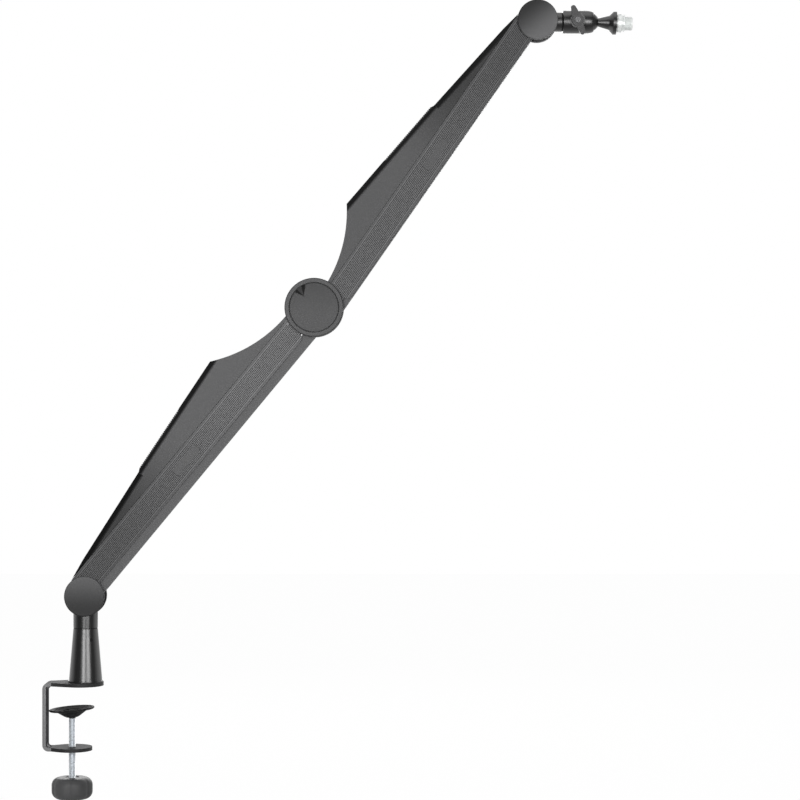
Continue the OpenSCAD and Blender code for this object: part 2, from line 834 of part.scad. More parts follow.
module lower_front_rail() color("#8c8d8f") on_lower() front() rail(true);
module lower_rear_rail() color("#8c8d8f") on_lower() rail(false);
module lower_front_shell() color("#6c6d6f") on_lower() front() shell(lower_anchor, false);
module lower_rear_shell() color("#6c6d6f") on_lower() shell(lower_anchor, true);
module lower_cable_lid() color("#3c3d3f") on_lower() cable_lid();
module lower_badge() color("#77787a") on_lower() badge();
module lower_bushes() color("#c9c4b5") on_lower() bushes();
module lower_fixings() color("#a8aaad") on_lower() fixings(lower_anchor);
module lower_spring() {
    hook = lower_uv(base_hook);
    span = norm(lower_anchor - hook);
    color("#b4b6b9") on_lower() spring(hook, lower_anchor, span * 0.23, span * 0.9);
}

module upper_front_rail() color("#8c8d8f") on_upper() front() rail(true);
module upper_rear_rail() color("#8c8d8f") on_upper() rail(false);
module upper_front_shell() color("#6c6d6f") on_upper() front() shell(upper_anchor, false);
module upper_rear_shell() color("#6c6d6f") on_upper() shell(upper_anchor, true);
module upper_cable_lid() color("#3c3d3f") on_upper() cable_lid();
module upper_badge() color("#77787a") on_upper() badge();
module upper_bushes() color("#c9c4b5") on_upper() bushes();
module upper_fixings() color("#a8aaad") on_upper() fixings(upper_anchor);
module upper_spring() {
    hook = upper_uv(elbow_hook);
    span = norm(upper_anchor - hook);
    color("#b4b6b9") on_upper() spring(hook, upper_anchor, span * 0.18, span * 0.88);
}

// Tie bar: a channel of two straps and a web, open towards the main link
module tie_bar() {
    h = tie_w / 2;
    e = h - 0.5;
    difference() {
        union() {
            both() slab(tie_in, tie_out) {
                polygon([[0, e], [6, h], [link_l - 6, h], [link_l, e], [link_l, -e],
                         [link_l - tie_web_end, -h], [tie_web_end, -h], [0, -e]]);
                circle(r = e);
                translate([link_l, 0]) circle(r = e);
            }
            slab(-tie_out, tie_out) polygon([
                [tie_web_end + tie_web, -h], [link_l - tie_web_end - tie_web, -h],
                [link_l - tie_web_end, tie_web - h], [tie_web_end, tie_web - h]
            ]);
        }
        for (u = [0, link_l]) at([u, 0]) bar(pin_r + run, -big, big);
    }
}

module lower_tie_bar() color("#5f6062") translate([lower_tie[0], 0, lower_tie[1]]) on_lower() tie_bar();
module upper_tie_bar() color("#5f6062") translate([upper_tie[0], 0, upper_tie[1]]) on_upper() tie_bar();

// Elbow: two round plates on spacers, which every pin ties together
elbow_pin_at = [elbow_p, elbow_p + lower_tie, elbow_q, elbow_q + upper_tie];
module elbow_plate() color("#5a5b5d") difference() {
    at(elbow_c) bar(plate_r, cheek_in, cheek_out);
    for (p = elbow_pin_at) at(p) bar(pin_r, 0, big);
    at(elbow_c) bar(stud_r + run, 0, big);
}

module elbow_front_plate() front() elbow_plate();
module elbow_rear_plate() elbow_plate();

module elbow_spacers() {
    d = unit(elbow_hook - elbow_c);
    side = [-d[1], d[0]];
    inner = tie_in - 2 * skin;
    color("#3b3c3e") difference() {
        union() {
            at(elbow_c) bar(core_r, -cheek_in, cheek_in);
            slab(-tongue_y, tongue_y) {
                polygon([elbow_c + (core_r - 1) * side, elbow_hook + hook_boss_r * side,
                         elbow_hook - hook_boss_r * side, elbow_c - (core_r - 1) * side]);
                translate(elbow_hook) circle(r = hook_boss_r);
            }
            for (p = [elbow_p + lower_tie, elbow_q + upper_tie]) at(p) {
                bar(sleeve_r, -inner, inner);
                both() bar(sleeve_r, tie_out + 2 * skin, cheek_in);
            }
        }
        for (p = elbow_pin_at) at(p) bar(pin_r, -big, big);
        at(elbow_c) bar(stud_r + run, -big, big);
        hook_cuts(elbow_hook);
    }
}

module elbow_pins() color("#9b9da0") {
    for (p = [elbow_p, elbow_q]) at(p) both() bar(pin_r, rail_in - gap, cheek_out);
    for (p = [elbow_p + lower_tie, elbow_q + upper_tie]) at(p) bar(pin_r, -cheek_out, cheek_out);
    at(elbow_hook) bar(hook_r, -tongue_y, tongue_y);
}

module elbow_bezel() color("#606163") at(elbow_c) front() difference() {
    cover(elbow_r, cheek_out);
    bar(elbow_r - bezel_w, cheek_in, big);
}

module elbow_rear_cap() color("#525355") at(elbow_c) cover(elbow_r, cover_out - cover_face);

module tension_nut() color("#8f9194") at(elbow_c) difference() {
    translate([0, cheek_out + nut_t, 0]) rotate([90, 0, 0]) cylinder(r = 6, h = nut_t, $fn = 6);
    bar(stud_r + run, 0, big);
}

module friction_washer() color("#1b1b1c") at(elbow_c) front() difference() {
    bar(14, cheek_out, knob_y - skin);
    bar(6, 0, big);
}

// Three facets that deepen from a point towards the rim: a floor and two sides
module notch() {
    side = notch_l * tan(notch_half);
    polyhedron([
        [0, 0, 0], [0, notch_clear, 0],
        [notch_l, notch_top, -side], [notch_l, notch_top, side],
        [notch_l, notch_clear, -side], [notch_l, notch_clear, side],
        [notch_l, notch_floor, -side / 3], [notch_l, notch_floor, side / 3]
    ], [
        [1, 4, 5], [0, 2, 4, 1], [0, 1, 5, 3], [0, 6, 2], [0, 7, 6], [0, 3, 7],
        [2, 6, 7, 3, 5, 4]
    ]);
}

// Low domed knob with a faceted notch for the thumb at its rim
module elbow_knob() {
    edge = 0.8;
    steps = 6;
    dome = [for (i = [0:steps]) let (r = (knob_r - edge) * (1 - i / steps))
        [r, cover_out + knob_dome * (1 - pow(r / knob_r, 2))]];
    color("#57585a") at(elbow_c) front() difference() {
        rotate([-90, 0, 0]) rotate_extrude($fn = 120) polygon(concat(
            [[0, knob_y], [knob_r, knob_y], [knob_r, cover_out - edge]], dome));
        bar(stud_r, 0, cover_out - 0.5);
        at(notch_at) rotate([0, -notch_turn, 0]) translate([0, cover_out + 1, 0]) notch();
    }
}

module knob_stud() color("#9b9da0") at(elbow_c)
    bar(stud_r, -(cover_out - 0.5), cheek_out + nut_t - skin);

// Head: the same fork turned on its side, then the neck and the ball joint's housing
module along_x(x0) {
    translate([x0, 0, head_z]) rotate([0, 90, 0]) children();
}

module head_hub() {
    tie_p = head_p + upper_tie;
    color("#2f3032") difference() {
        union() {
            at(head_c) fork_cheeks();
            intersection() {
                at(head_c) bar(cheek_r, -cheek_out, cheek_out);
                translate([head_floor, -big / 2, head_c[1] - big / 2]) cube(big);
            }
            difference() {
                along_x(head_floor) cylinder(d = head_neck_d, h = neck_end - head_floor);
                at(head_c) cap_room(disc_r);
            }
            along_x(neck_end - eps) cylinder(r = spigot_r, h = spigot_l);
            slab(-tongue_y, tongue_y) {
                polygon([[head_floor + 1, head_c[1] + 16], [head_floor + 1, head_c[1] - 18],
                         tie_p - [0, tie_eye], tie_p - [tie_eye, 0], head_p - [pin_eye, 0],
                         head_p + [0, pin_eye]]);
                translate(head_p) circle(r = pin_eye);
                translate(tie_p) circle(r = tie_eye);
            }
        }
        at(head_p) bar(pin_r, -big, big);
        at(tie_p) bar(pin_r, -big, big);
    }
}

module head_pins() color("#9b9da0") {
    at(head_p) headed_pin();
    at(head_p + upper_tie) bar(pin_r, -tie_out - gap, tie_out + gap);
}

module head_caps() color("#4c4d4f") at(head_c) both() cover(disc_r, cover_out - cover_face);

module ball_housing() {
    edge = 0.8;
    color("#202123") difference() {
        along_x(housing_x) rotate_extrude($fn = 96) polygon([
            [0, 0], [housing_r - edge, 0], [housing_r, edge], [housing_r, taper_x - housing_x],
            [mouth_r, mouth_x - housing_x], [0, mouth_x - housing_x]
        ]);
        along_x(housing_x - 1) cylinder(r = spigot_r, h = spigot_l - neck_gap + 1.5);
        along_x(plunger_x) cylinder(r = plunger_r + run, h = ball_x - plunger_x);
        along_x(seat_x - skin) cylinder(r = seat_r + run, h = ball_x - seat_x - ball_R / 2);
        translate([ball_x, 0, head_z]) sphere(r = ball_R + run, $fn = 96);
        at([wing_x, head_z]) bar(wing_stud_r + run, -big, 0);
    }
    color("#202123") at([wing_x, head_z]) front() difference() {
        bar(wing_pad_r, housing_r - 1.6, wing_y - 0.3);
        bar(wing_stud_r + run, 0, big);
        rotate([0, 90, 0]) cylinder(r = housing_r, h = big, center = true, $fn = 96);
    }
}

module pressure_plunger() color("#9b9da0")
    along_x(plunger_x + skin) cylinder(r = plunger_r, h = seat_x - plunger_x - 2 * skin);

module ball_seat() color("#d8d4c4") difference() {
    along_x(seat_x) cylinder(r = seat_r, h = 5.3);
    translate([ball_x, 0, head_z]) sphere(r = ball_R + run / 2, $fn = 96);
    along_x(seat_x - 1) cylinder(r = 2, h = 10);
}

// The ball turns in the seat and carries the stem, which droops a little at rest
module on_stem() {
    translate([ball_x, 0, head_z]) rotate([0, 90 + stem_droop, 0]) children();
}

module ball_stem() {
    end = stem_x0 + stem_l;
    color("#1a1a1b") on_stem() {
        sphere(r = ball_R, $fn = 96);
        cylinder(r = stem_r0, h = stem_x0);
        translate([0, 0, stem_x0 - eps]) cylinder(r1 = stem_r0, r2 = stem_r1, h = stem_l);
        translate([0, 0, end - 2 * eps])
            cylinder(r1 = stem_r1, r2 = collar_d / 2, h = collar_flare);
        translate([0, 0, end + collar_flare - 3 * eps]) cylinder(r = 5, h = 12);
    }
}

collar_x = stem_x0 + stem_l + collar_flare;
module stem_collar() color("#1f1f20") on_stem() translate([0, 0, collar_x]) difference() {
    cylinder(d = collar_d, h = collar_t, $fn = 96);
    translate([0, 0, -1]) cylinder(r = 5, h = collar_t + 2);
}

// Turned steel adaptor: two rings and the threaded spigot
module thread_adaptor() color("#d9dcdf") on_stem() translate([0, 0, collar_x + collar_t])
    difference() {
        rotate_extrude($fn = 96) {
            e = 0.6;
            a = ring_gap;
            b = a + ring_t[0];
            c = b + ring_gap;
            d = c + ring_t[1];
            f = d + thread_l;
            polygon([
                [0, 0], [9, 0], [9, a], [ring_r[0] - e, a], [ring_r[0], a + e],
                [ring_r[0], b - e], [ring_r[0] - e, b], [8.4, b], [8.4, c], [ring_r[1] - e, c],
                [ring_r[1], c + e], [ring_r[1], d - e], [ring_r[1] - e, d], [thread_d / 2, d],
                [thread_d / 2, f - e], [thread_d / 2 - e, f], [0, f]
            ]);
        }
        translate([0, 0, -1]) cylinder(r = 5, h = 8.9);
    }

// Wing lever that presses the plunger onto the ball's seat
module wing_lever() color("#2a2b2d") at([wing_x, head_z]) rotate([0, -wing_angle, 0]) front()
    difference() {
        union() {
            bar(wing_boss_r, wing_y, wing_y + wing_t);
            for (s = [0, 180]) rotate([0, s, 0]) {
                slab(wing_y + 0.6, wing_y + wing_t - 0.5) polygon([
                    [0, wing_boss_r - 1], [0, 1 - wing_boss_r],
                    [wing_l / 2 - wing_tip_r, -wing_tip_r], [wing_l / 2 - wing_tip_r, wing_tip_r]]);
                at([wing_l / 2 - wing_tip_r, 0])
                    bar(wing_tip_r, wing_y + 0.6, wing_y + wing_t - 0.5);
            }
        }
        bar(wing_stud_r, 0, big);
        bar(wing_screw_r + skin, wing_y + wing_t - 1.2, big);
    }

module wing_screw() color("#3a3b3d") at([wing_x, head_z]) rotate([0, -wing_angle, 0]) front()
    difference() {
        union() {
            bar(wing_stud_r, plunger_r + 0.2, wing_y + wing_t - 1);
            bar(wing_screw_r, wing_y + wing_t - 1.2, wing_y + wing_t + 0.3);
        }
        for (s = [0, 90]) rotate([0, s, 0])
            translate([-wing_screw_r * 0.7, wing_y + wing_t - 0.4, -0.4])
                cube([wing_screw_r * 1.4, 2, 0.8]);
    }

clamp_frame();
post_cone();
foot_ring();
post_bolt();
post_bushes();
set_screw();
swivel_washer();
thrust_ball();
clamp_spindle();
spindle_rivet();
clamp_knob();
pressure_pad();
pad_lining();
base_hub();
swivel_pin();
swivel_clip();
base_pins();
base_caps();
lower_front_rail();
lower_rear_rail();
lower_front_shell();
lower_rear_shell();
lower_cable_lid();
lower_badge();
lower_bushes();
lower_fixings();
lower_spring();
lower_tie_bar();
elbow_front_plate();
elbow_rear_plate();
elbow_spacers();
elbow_pins();
elbow_bezel();
elbow_rear_cap();
tension_nut();
friction_washer();
elbow_knob();
knob_stud();
upper_front_rail();
upper_rear_rail();
upper_front_shell();
upper_rear_shell();
upper_cable_lid();
upper_badge();
upper_bushes();
upper_fixings();
upper_spring();
upper_tie_bar();
head_hub();
head_pins();
head_caps();
ball_housing();
pressure_plunger();
ball_seat();
ball_stem();
stem_collar();
thread_adaptor();
wing_lever();
wing_screw();
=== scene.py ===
# %% [markdown]
# # A desk-clamped microphone boom arm
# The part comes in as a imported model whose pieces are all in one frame: metres, +X along the
# reach, +Z up, front towards -Y. This lesson never moves those pieces. It rounds their edges,
# adds the threads and the moulded knob, and gives every piece the finish of the real one.

# %% Load the frame
import json
import math

import bmesh
import bpy
from mathutils import Matrix, Vector

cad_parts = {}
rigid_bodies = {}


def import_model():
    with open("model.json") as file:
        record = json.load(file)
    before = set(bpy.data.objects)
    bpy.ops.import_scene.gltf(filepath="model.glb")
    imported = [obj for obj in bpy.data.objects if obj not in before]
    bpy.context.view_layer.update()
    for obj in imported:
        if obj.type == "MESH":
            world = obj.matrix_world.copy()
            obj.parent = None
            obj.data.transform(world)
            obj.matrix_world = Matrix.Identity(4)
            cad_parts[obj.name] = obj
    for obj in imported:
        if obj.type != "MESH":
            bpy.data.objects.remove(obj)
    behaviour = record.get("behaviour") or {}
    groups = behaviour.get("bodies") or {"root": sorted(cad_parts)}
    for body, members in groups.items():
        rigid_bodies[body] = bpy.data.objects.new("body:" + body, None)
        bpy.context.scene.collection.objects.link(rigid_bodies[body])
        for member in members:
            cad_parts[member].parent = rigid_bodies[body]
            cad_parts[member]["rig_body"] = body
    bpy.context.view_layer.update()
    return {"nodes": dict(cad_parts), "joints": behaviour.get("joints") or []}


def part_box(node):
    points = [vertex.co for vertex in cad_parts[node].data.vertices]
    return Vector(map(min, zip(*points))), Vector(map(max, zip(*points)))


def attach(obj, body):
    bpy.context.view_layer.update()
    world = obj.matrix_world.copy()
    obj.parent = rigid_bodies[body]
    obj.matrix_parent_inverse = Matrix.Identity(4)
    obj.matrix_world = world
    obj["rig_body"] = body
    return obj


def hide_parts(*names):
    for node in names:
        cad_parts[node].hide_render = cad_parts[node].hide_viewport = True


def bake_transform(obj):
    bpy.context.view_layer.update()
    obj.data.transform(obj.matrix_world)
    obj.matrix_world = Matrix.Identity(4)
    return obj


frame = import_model()
MM = 0.001
joints = {j["name"]: j for j in frame["joints"]}
nodes = frame["nodes"]
scene = bpy.context.scene

# %% [markdown]
# ## Camera
# A product picture of a tall, thin arm is taken from far away with a long lens, so the near and
# the far discs nearly cover each other. The camera stands 2.8 m in front of the arm, level. Its
# lens is chosen so that the picture shows a width of 920 mm at the arm's plane.

# %% Camera
CAMERA_FAR = 2800.0
FIELD_WIDTH = 920.0
SENSOR = 36.0
camera_data = bpy.data.cameras.new("studio_camera")
camera_data.sensor_width = SENSOR
camera_data.lens = SENSOR * CAMERA_FAR / FIELD_WIDTH
camera = bpy.data.objects.new("studio_camera", camera_data)
camera.location = Vector((361.5, -CAMERA_FAR, 328.0)) * MM
camera.rotation_euler = (math.radians(90), 0, 0)
scene.collection.objects.link(camera)
scene.camera = camera
print("lens", round(camera_data.lens, 2), "mm")

# %% [markdown]
# ## Floor, world and lamps
# The picture has a plain white ground. Through Light Path, the floor and the world are white to
# the camera by their own colour, so the lamps can stay at a plain level. In reflections the room
# behind the camera is dim, as in a studio, and the backdrop is white. Two soft boxes on either
# side of the camera light the front and give the gloss post its upright highlights, a broad one
# above the arm models the links, and one behind it lights the rear.

# %% Helpers for materials and light
FLOOR_Z = -0.30
FLOOR_SEEN = 0.985
FLOOR_REACH = 1.2
WORLD_REACH = 0.35
DIM_ROOM = 0.12
DOME_LIGHT = 0.12
WHITE = (1, 1, 1, 1)


def new_nodes(tree_owner):
    tree_owner.use_nodes = True
    tree = tree_owner.node_tree
    tree.nodes.clear()
    return tree, tree.nodes, tree.links


def maths(n, link, kind, *values, clamp=False):
    """The output of a Math node. Each value is a number or another node's output."""
    node = n.new("ShaderNodeMath")
    node.operation = kind
    node.use_clamp = clamp
    for socket, value in zip(node.inputs, values):
        if isinstance(value, float):
            socket.default_value = value
        else:
            link.new(value, socket)
    return node.outputs[0]


def seen_rays(n, link, share):
    """share for rays from the camera, in reflections or through glass, and 0 for the others."""
    rays = n.new("ShaderNodeLightPath")
    mask = rays.outputs["Is Camera Ray"]
    for kind in ("Is Glossy Ray", "Is Transmission Ray"):
        mask = maths(n, link, "MAXIMUM", mask, rays.outputs[kind])
    return maths(n, link, "MULTIPLY", mask, share)


def backdrop_light(n, link, place, reach):
    """1 for camera rays; for the others dim in front of the object and 1 behind it."""
    parts = n.new("ShaderNodeSeparateXYZ")
    link.new(place, parts.inputs[0])
    backdrop = n.new("ShaderNodeMapRange")
    backdrop.interpolation_type = "SMOOTHSTEP"
    backdrop.inputs["From Min"].default_value = -reach
    backdrop.inputs["From Max"].default_value = reach
    backdrop.inputs["To Min"].default_value = DIM_ROOM
    link.new(parts.outputs["Y"], backdrop.inputs["Value"])
    rays = n.new("ShaderNodeLightPath")
    return maths(n, link, "MAXIMUM", rays.outputs["Is Camera Ray"], backdrop.outputs["Result"])


# %% Floor
def floor_material():
    mat = bpy.data.materials.new("pale_floor")
    tree, n, link = new_nodes(mat)
    out = n.new("ShaderNodeOutputMaterial")
    mix = n.new("ShaderNodeMixShader")
    paint = n.new("ShaderNodeBsdfDiffuse")
    paint.inputs["Color"].default_value = (0.8, 0.8, 0.8, 1)
    white = n.new("ShaderNodeEmission")
    white.inputs["Color"].default_value = WHITE
    ground = n.new("ShaderNodeTexCoord")
    level = backdrop_light(n, link, ground.outputs["Object"], FLOOR_REACH)
    link.new(level, white.inputs["Strength"])
    link.new(seen_rays(n, link, FLOOR_SEEN), mix.inputs["Fac"])
    link.new(paint.outputs[0], mix.inputs[1])
    link.new(white.outputs[0], mix.inputs[2])
    link.new(mix.outputs[0], out.inputs["Surface"])
    return mat


bpy.ops.mesh.primitive_plane_add(size=12, location=(0.3, 0, FLOOR_Z))
floor = bpy.context.object
floor.name = "floor"
floor.data.materials.append(floor_material())
print("floor at", FLOOR_Z, "m")

# %% World
world = bpy.data.worlds.new("studio")
scene.world = world
tree, n, link = new_nodes(world)
out = n.new("ShaderNodeOutputWorld")
seen = n.new("ShaderNodeBackground")
seen.inputs["Color"].default_value = WHITE
heading = n.new("ShaderNodeTexCoord")
level = backdrop_light(n, link, heading.outputs["Generated"], WORLD_REACH)
link.new(level, seen.inputs["Strength"])
dome = n.new("ShaderNodeBackground")
dome.inputs["Color"].default_value = WHITE
dome.inputs["Strength"].default_value = DOME_LIGHT
mix = n.new("ShaderNodeMixShader")
link.new(seen_rays(n, link, 1.0), mix.inputs["Fac"])
link.new(dome.outputs[0], mix.inputs[1])
link.new(seen.outputs[0], mix.inputs[2])
link.new(mix.outputs[0], out.inputs["Surface"])
print("world", world.name)

# %% Lamps
MIDDLE = Vector((0.28, 0.0, 0.33))


def soft_box(name, place, size, watts):
    data = bpy.data.lights.new(name, "AREA")
    data.shape = "RECTANGLE"
    data.size, data.size_y = size
    data.energy = watts
    lamp = bpy.data.objects.new(name, data)
    lamp.location = place
    lamp.visible_camera = False
    lamp.rotation_euler = (MIDDLE - Vector(place)).to_track_quat("-Z", "Y").to_euler()
    scene.collection.objects.link(lamp)
    return lamp.name


lamps = [
    soft_box("left_box", (-0.38, -3.05, 0.55), (1.1, 1.3), watts=42),
    soft_box("right_box", (1.45, -3.0, 0.55), (1.4, 1.3), watts=46),
    soft_box("top_box", (0.3, -0.5, 2.3), (2.2, 1.2), watts=10),
    soft_box("back_box", (0.3, 2.4, 1.2), (2.4, 1.4), watts=44),
]
print("lamps", lamps)

# %% [markdown]
# ## Shared effects as node groups
# Four effects come back on most finishes: the fine grain of moulded plastic and powder coat, the
# slow drift of tone that handling and dust leave, the fine lines of brushed or drawn metal, and a
# ramp that changes a tone with the place along one direction. Each is a node group with its sizes
# as inputs, so every material can use it at its own scale.


# %% Helpers for node groups
def new_group(name, inputs, outputs):
    group = bpy.data.node_groups.new(name, "ShaderNodeTree")
    for label, kind, value in inputs:
        socket = group.interface.new_socket(label, in_out="INPUT", socket_type=kind)
        socket.default_value = value
    for label, kind in outputs:
        group.interface.new_socket(label, in_out="OUTPUT", socket_type=kind)
    start = group.nodes.new("NodeGroupInput")
    end = group.nodes.new("NodeGroupOutput")
    return group, start, end


def scaled(n, link, colour, gain):
    """A colour times a number, both from other nodes' outputs."""
    tone = n.new("ShaderNodeVectorMath")
    tone.operation = "SCALE"
    link.new(colour, tone.inputs[0])
    link.new(gain, tone.inputs["Scale"])
    return tone.outputs[0]


F = "NodeSocketFloat"
V = "NodeSocketVector"
C = "NodeSocketColor"


# %% Grain and drift
def grain_group():
    group, start, end = new_group(
        "fine_grain",
        [("Vector", V, (0, 0, 0)), ("Scale", F, 1800.0), ("Coarse", F, 0.35)],
        [("Height", F)],
    )
    n, link = group.nodes, group.links
    fine = n.new("ShaderNodeTexNoise")
    fine.inputs["Detail"].default_value = 3
    coarse = n.new("ShaderNodeTexNoise")
    coarse.inputs["Detail"].default_value = 2
    third = maths(n, link, "MULTIPLY", start.outputs["Scale"], 0.3)
    link.new(start.outputs["Scale"], fine.inputs["Scale"])
    link.new(third, coarse.inputs["Scale"])
    for tex in (fine, coarse):
        link.new(start.outputs["Vector"], tex.inputs["Vector"])
    blend = n.new("ShaderNodeMix")
    link.new(start.outputs["Coarse"], blend.inputs["Factor"])
    link.new(fine.outputs["Fac"], blend.inputs["A"])
    link.new(coarse.outputs["Fac"], blend.inputs["B"])
    link.new(blend.outputs["Result"], end.inputs["Height"])
    return group


def drift_group():
    group, start, end = new_group(
        "slow_drift",
        [
            ("Vector", V, (0, 0, 0)),
            ("Color", C, (0.5, 0.5, 0.5, 1)),
            ("Scale", F, 14.0),
            ("Amount", F, 0.08),
            ("Roughness", F, 0.5),
        ],
        [("Color", C), ("Roughness", F)],
    )
    n, link = group.nodes, group.links
    cloud = n.new("ShaderNodeTexNoise")
    cloud.inputs["Detail"].default_value = 5
    cloud.inputs["Roughness"].default_value = 0.6
    link.new(start.outputs["Vector"], cloud.inputs["Vector"])
    link.new(start.outputs["Scale"], cloud.inputs["Scale"])
    centred = maths(n, link, "SUBTRACT", cloud.outputs["Fac"], 0.5)
    amount = maths(n, link, "MULTIPLY", centred, start.outputs["Amount"])
    gain = maths(n, link, "MULTIPLY_ADD", amount, 2.0, 1.0)
    link.new(scaled(n, link, start.outputs["Color"], gain), end.inputs["Color"])
    rough = maths(n, link, "ADD", start.outputs["Roughness"], amount, clamp=True)
    link.new(rough, end.inputs["Roughness"])
    return group


# %% Drawn lines and ramps
def drawn_group():
    group, start, end = new_group(
        "drawn_lines",
        [
            ("Vector", V, (0, 0, 0)),
            ("Along", F, 12.0),
            ("Across", F, 2600.0),
        ],
        [("Lines", F)],
    )
    n, link = group.nodes, group.links
    size = n.new("ShaderNodeCombineXYZ")
    link.new(start.outputs["Along"], size.inputs["X"])
    link.new(start.outputs["Across"], size.inputs["Y"])
    link.new(start.outputs["Across"], size.inputs["Z"])
    stretch = n.new("ShaderNodeVectorMath")
    stretch.operation = "MULTIPLY"
    link.new(start.outputs["Vector"], stretch.inputs[0])
    link.new(size.outputs[0], stretch.inputs[1])
    lines = n.new("ShaderNodeTexNoise")
    lines.inputs["Scale"].default_value = 1.0
    lines.inputs["Detail"].default_value = 4
    link.new(stretch.outputs[0], lines.inputs["Vector"])
    link.new(lines.outputs["Fac"], end.inputs["Lines"])
    return group


# Most finishes use this ramp for painted shade and painted light along one direction.
def ramp_group():
    group, start, end = new_group(
        "tone_ramp",
        [
            ("Vector", V, (0, 0, 0)),
            ("Color", C, (0.5, 0.5, 0.5, 1)),
            ("Origin", V, (0, 0, 0)),
            ("Direction", V, (0, 0, 1)),
            ("Both Ways", F, 0.0),
            ("Start", F, 0.0),
            ("End", F, 1.0),
            ("Near", F, 1.0),
            ("Far", F, 1.0),
        ],
        [("Color", C)],
    )
    n, link = group.nodes, group.links
    apart = n.new("ShaderNodeVectorMath")
    apart.operation = "SUBTRACT"
    link.new(start.outputs["Vector"], apart.inputs[0])
    link.new(start.outputs["Origin"], apart.inputs[1])
    along = n.new("ShaderNodeVectorMath")
    along.operation = "DOT_PRODUCT"
    link.new(apart.outputs[0], along.inputs[0])
    link.new(start.outputs["Direction"], along.inputs[1])
    plain = maths(n, link, "ABSOLUTE", along.outputs["Value"])
    choice = n.new("ShaderNodeMix")
    link.new(start.outputs["Both Ways"], choice.inputs["Factor"])
    link.new(along.outputs["Value"], choice.inputs["A"])
    link.new(plain, choice.inputs["B"])
    steps = n.new("ShaderNodeMapRange")
    steps.interpolation_type = "SMOOTHSTEP"
    link.new(choice.outputs["Result"], steps.inputs["Value"])
    ends = {"Start": "From Min", "End": "From Max", "Near": "To Min", "Far": "To Max"}
    for label, socket in ends.items():
        link.new(start.outputs[label], steps.inputs[socket])
    tone = scaled(n, link, start.outputs["Color"], steps.outputs["Result"])
    link.new(tone, end.inputs["Color"])
    return group


# %% Node groups
GRAIN = grain_group()
DRIFT = drift_group()
DRAWN = drawn_group()
RAMP = ramp_group()
print("node groups", [g.name for g in (GRAIN, DRIFT, DRAWN, RAMP)])

# %% [markdown]
# ## Finishes
# One maker covers every finish: a drift of tone feeds the colour and the roughness, and grain or
# drawn lines feed a bump. Values that don't change over a surface are set on the shader itself.


# %% Finish maker
def place_group(n, group, **values):
    node = n.new("ShaderNodeGroup")
    node.node_tree = group
    for label, value in values.items():
        node.inputs[label].default_value = value
    return node


BLUE_CAST = 1.02
BUMP_DEPTH = 0.2 * MM


def finish(name, tone, rough, metal=0.0, drift=0.08, drift_scale=14.0, grain=0.0,
           grain_scale=1800.0, lines=0.0, across=2600.0, specular=0.2, ramps=()):
    """A finish of one tone, a grey number or a colour, with either grain or drawn lines."""
    mat = bpy.data.materials.new(name)
    tree, n, link = new_nodes(mat)
    out = n.new("ShaderNodeOutputMaterial")
    skin = n.new("ShaderNodeBsdfPrincipled")
    link.new(skin.outputs[0], out.inputs["Surface"])
    skin.inputs["Metallic"].default_value = metal
    skin.inputs["Specular IOR Level"].default_value = specular
    where = n.new("ShaderNodeTexCoord")
    if not isinstance(tone, tuple):
        tone = (tone, tone, tone * BLUE_CAST)
    slow = place_group(n, DRIFT, Color=(*tone, 1), Scale=drift_scale, Amount=drift,
                       Roughness=rough)
    link.new(where.outputs["Object"], slow.inputs["Vector"])
    colour = slow.outputs["Color"]
    for values in ramps:
        shade = place_group(n, RAMP, **values)
        link.new(where.outputs["Object"], shade.inputs["Vector"])
        link.new(colour, shade.inputs["Color"])
        colour = shade.outputs["Color"]
    link.new(colour, skin.inputs["Base Color"])
    link.new(slow.outputs["Roughness"], skin.inputs["Roughness"])
    if grain or lines:
        relief = (place_group(n, DRAWN, Across=across) if lines
                  else place_group(n, GRAIN, Scale=grain_scale))
        bump = n.new("ShaderNodeBump")
        bump.inputs["Strength"].default_value = lines or grain
        bump.inputs["Distance"].default_value = BUMP_DEPTH
        link.new(where.outputs["Object"], relief.inputs["Vector"])
        link.new(relief.outputs[0], bump.inputs["Height"])
        link.new(bump.outputs[0], skin.inputs["Normal"])
    return mat


def pivot(name):
    return Vector(joints[name]["pos_m"])


def slope(a, b):
    d = b - a
    return math.degrees(math.atan2(d.z, d.x))


def along_and_up(degrees):
    """The directions along a link at this pitch and square to it, upward."""
    turn = math.radians(degrees)
    return (Vector((math.cos(turn), 0, math.sin(turn))),
            Vector((-math.sin(turn), 0, math.cos(turn))))


def ramp(origin, direction, start, end, near, far, both=0.0):
    """The inputs of one tone ramp. start and end are in millimetres along the direction; near
    and far are what they multiply the tone by. both=1.0 measures to either side of the origin."""
    return {"Origin": tuple(origin), "Direction": tuple(direction), "Both Ways": both,
            "Start": start * MM, "End": end * MM, "Near": near, "Far": far}


ORIGIN = (0, 0, 0)
RIGHT = (1, 0, 0)
UP = (0, 0, 1)
DEPTH = (0, 1, 0)
RIGHT_DOWN = (0.6, 0, -0.8)
LINK_PITCH = {"lower": slope(pivot("lower_pitch"), pivot("elbow_level")),
              "upper": slope(pivot("upper_pitch"), pivot("head_level"))}
BASE = pivot("lower_pitch")
ELBOW = pivot("elbow_knob_turn")
HEAD = pivot("head_level")
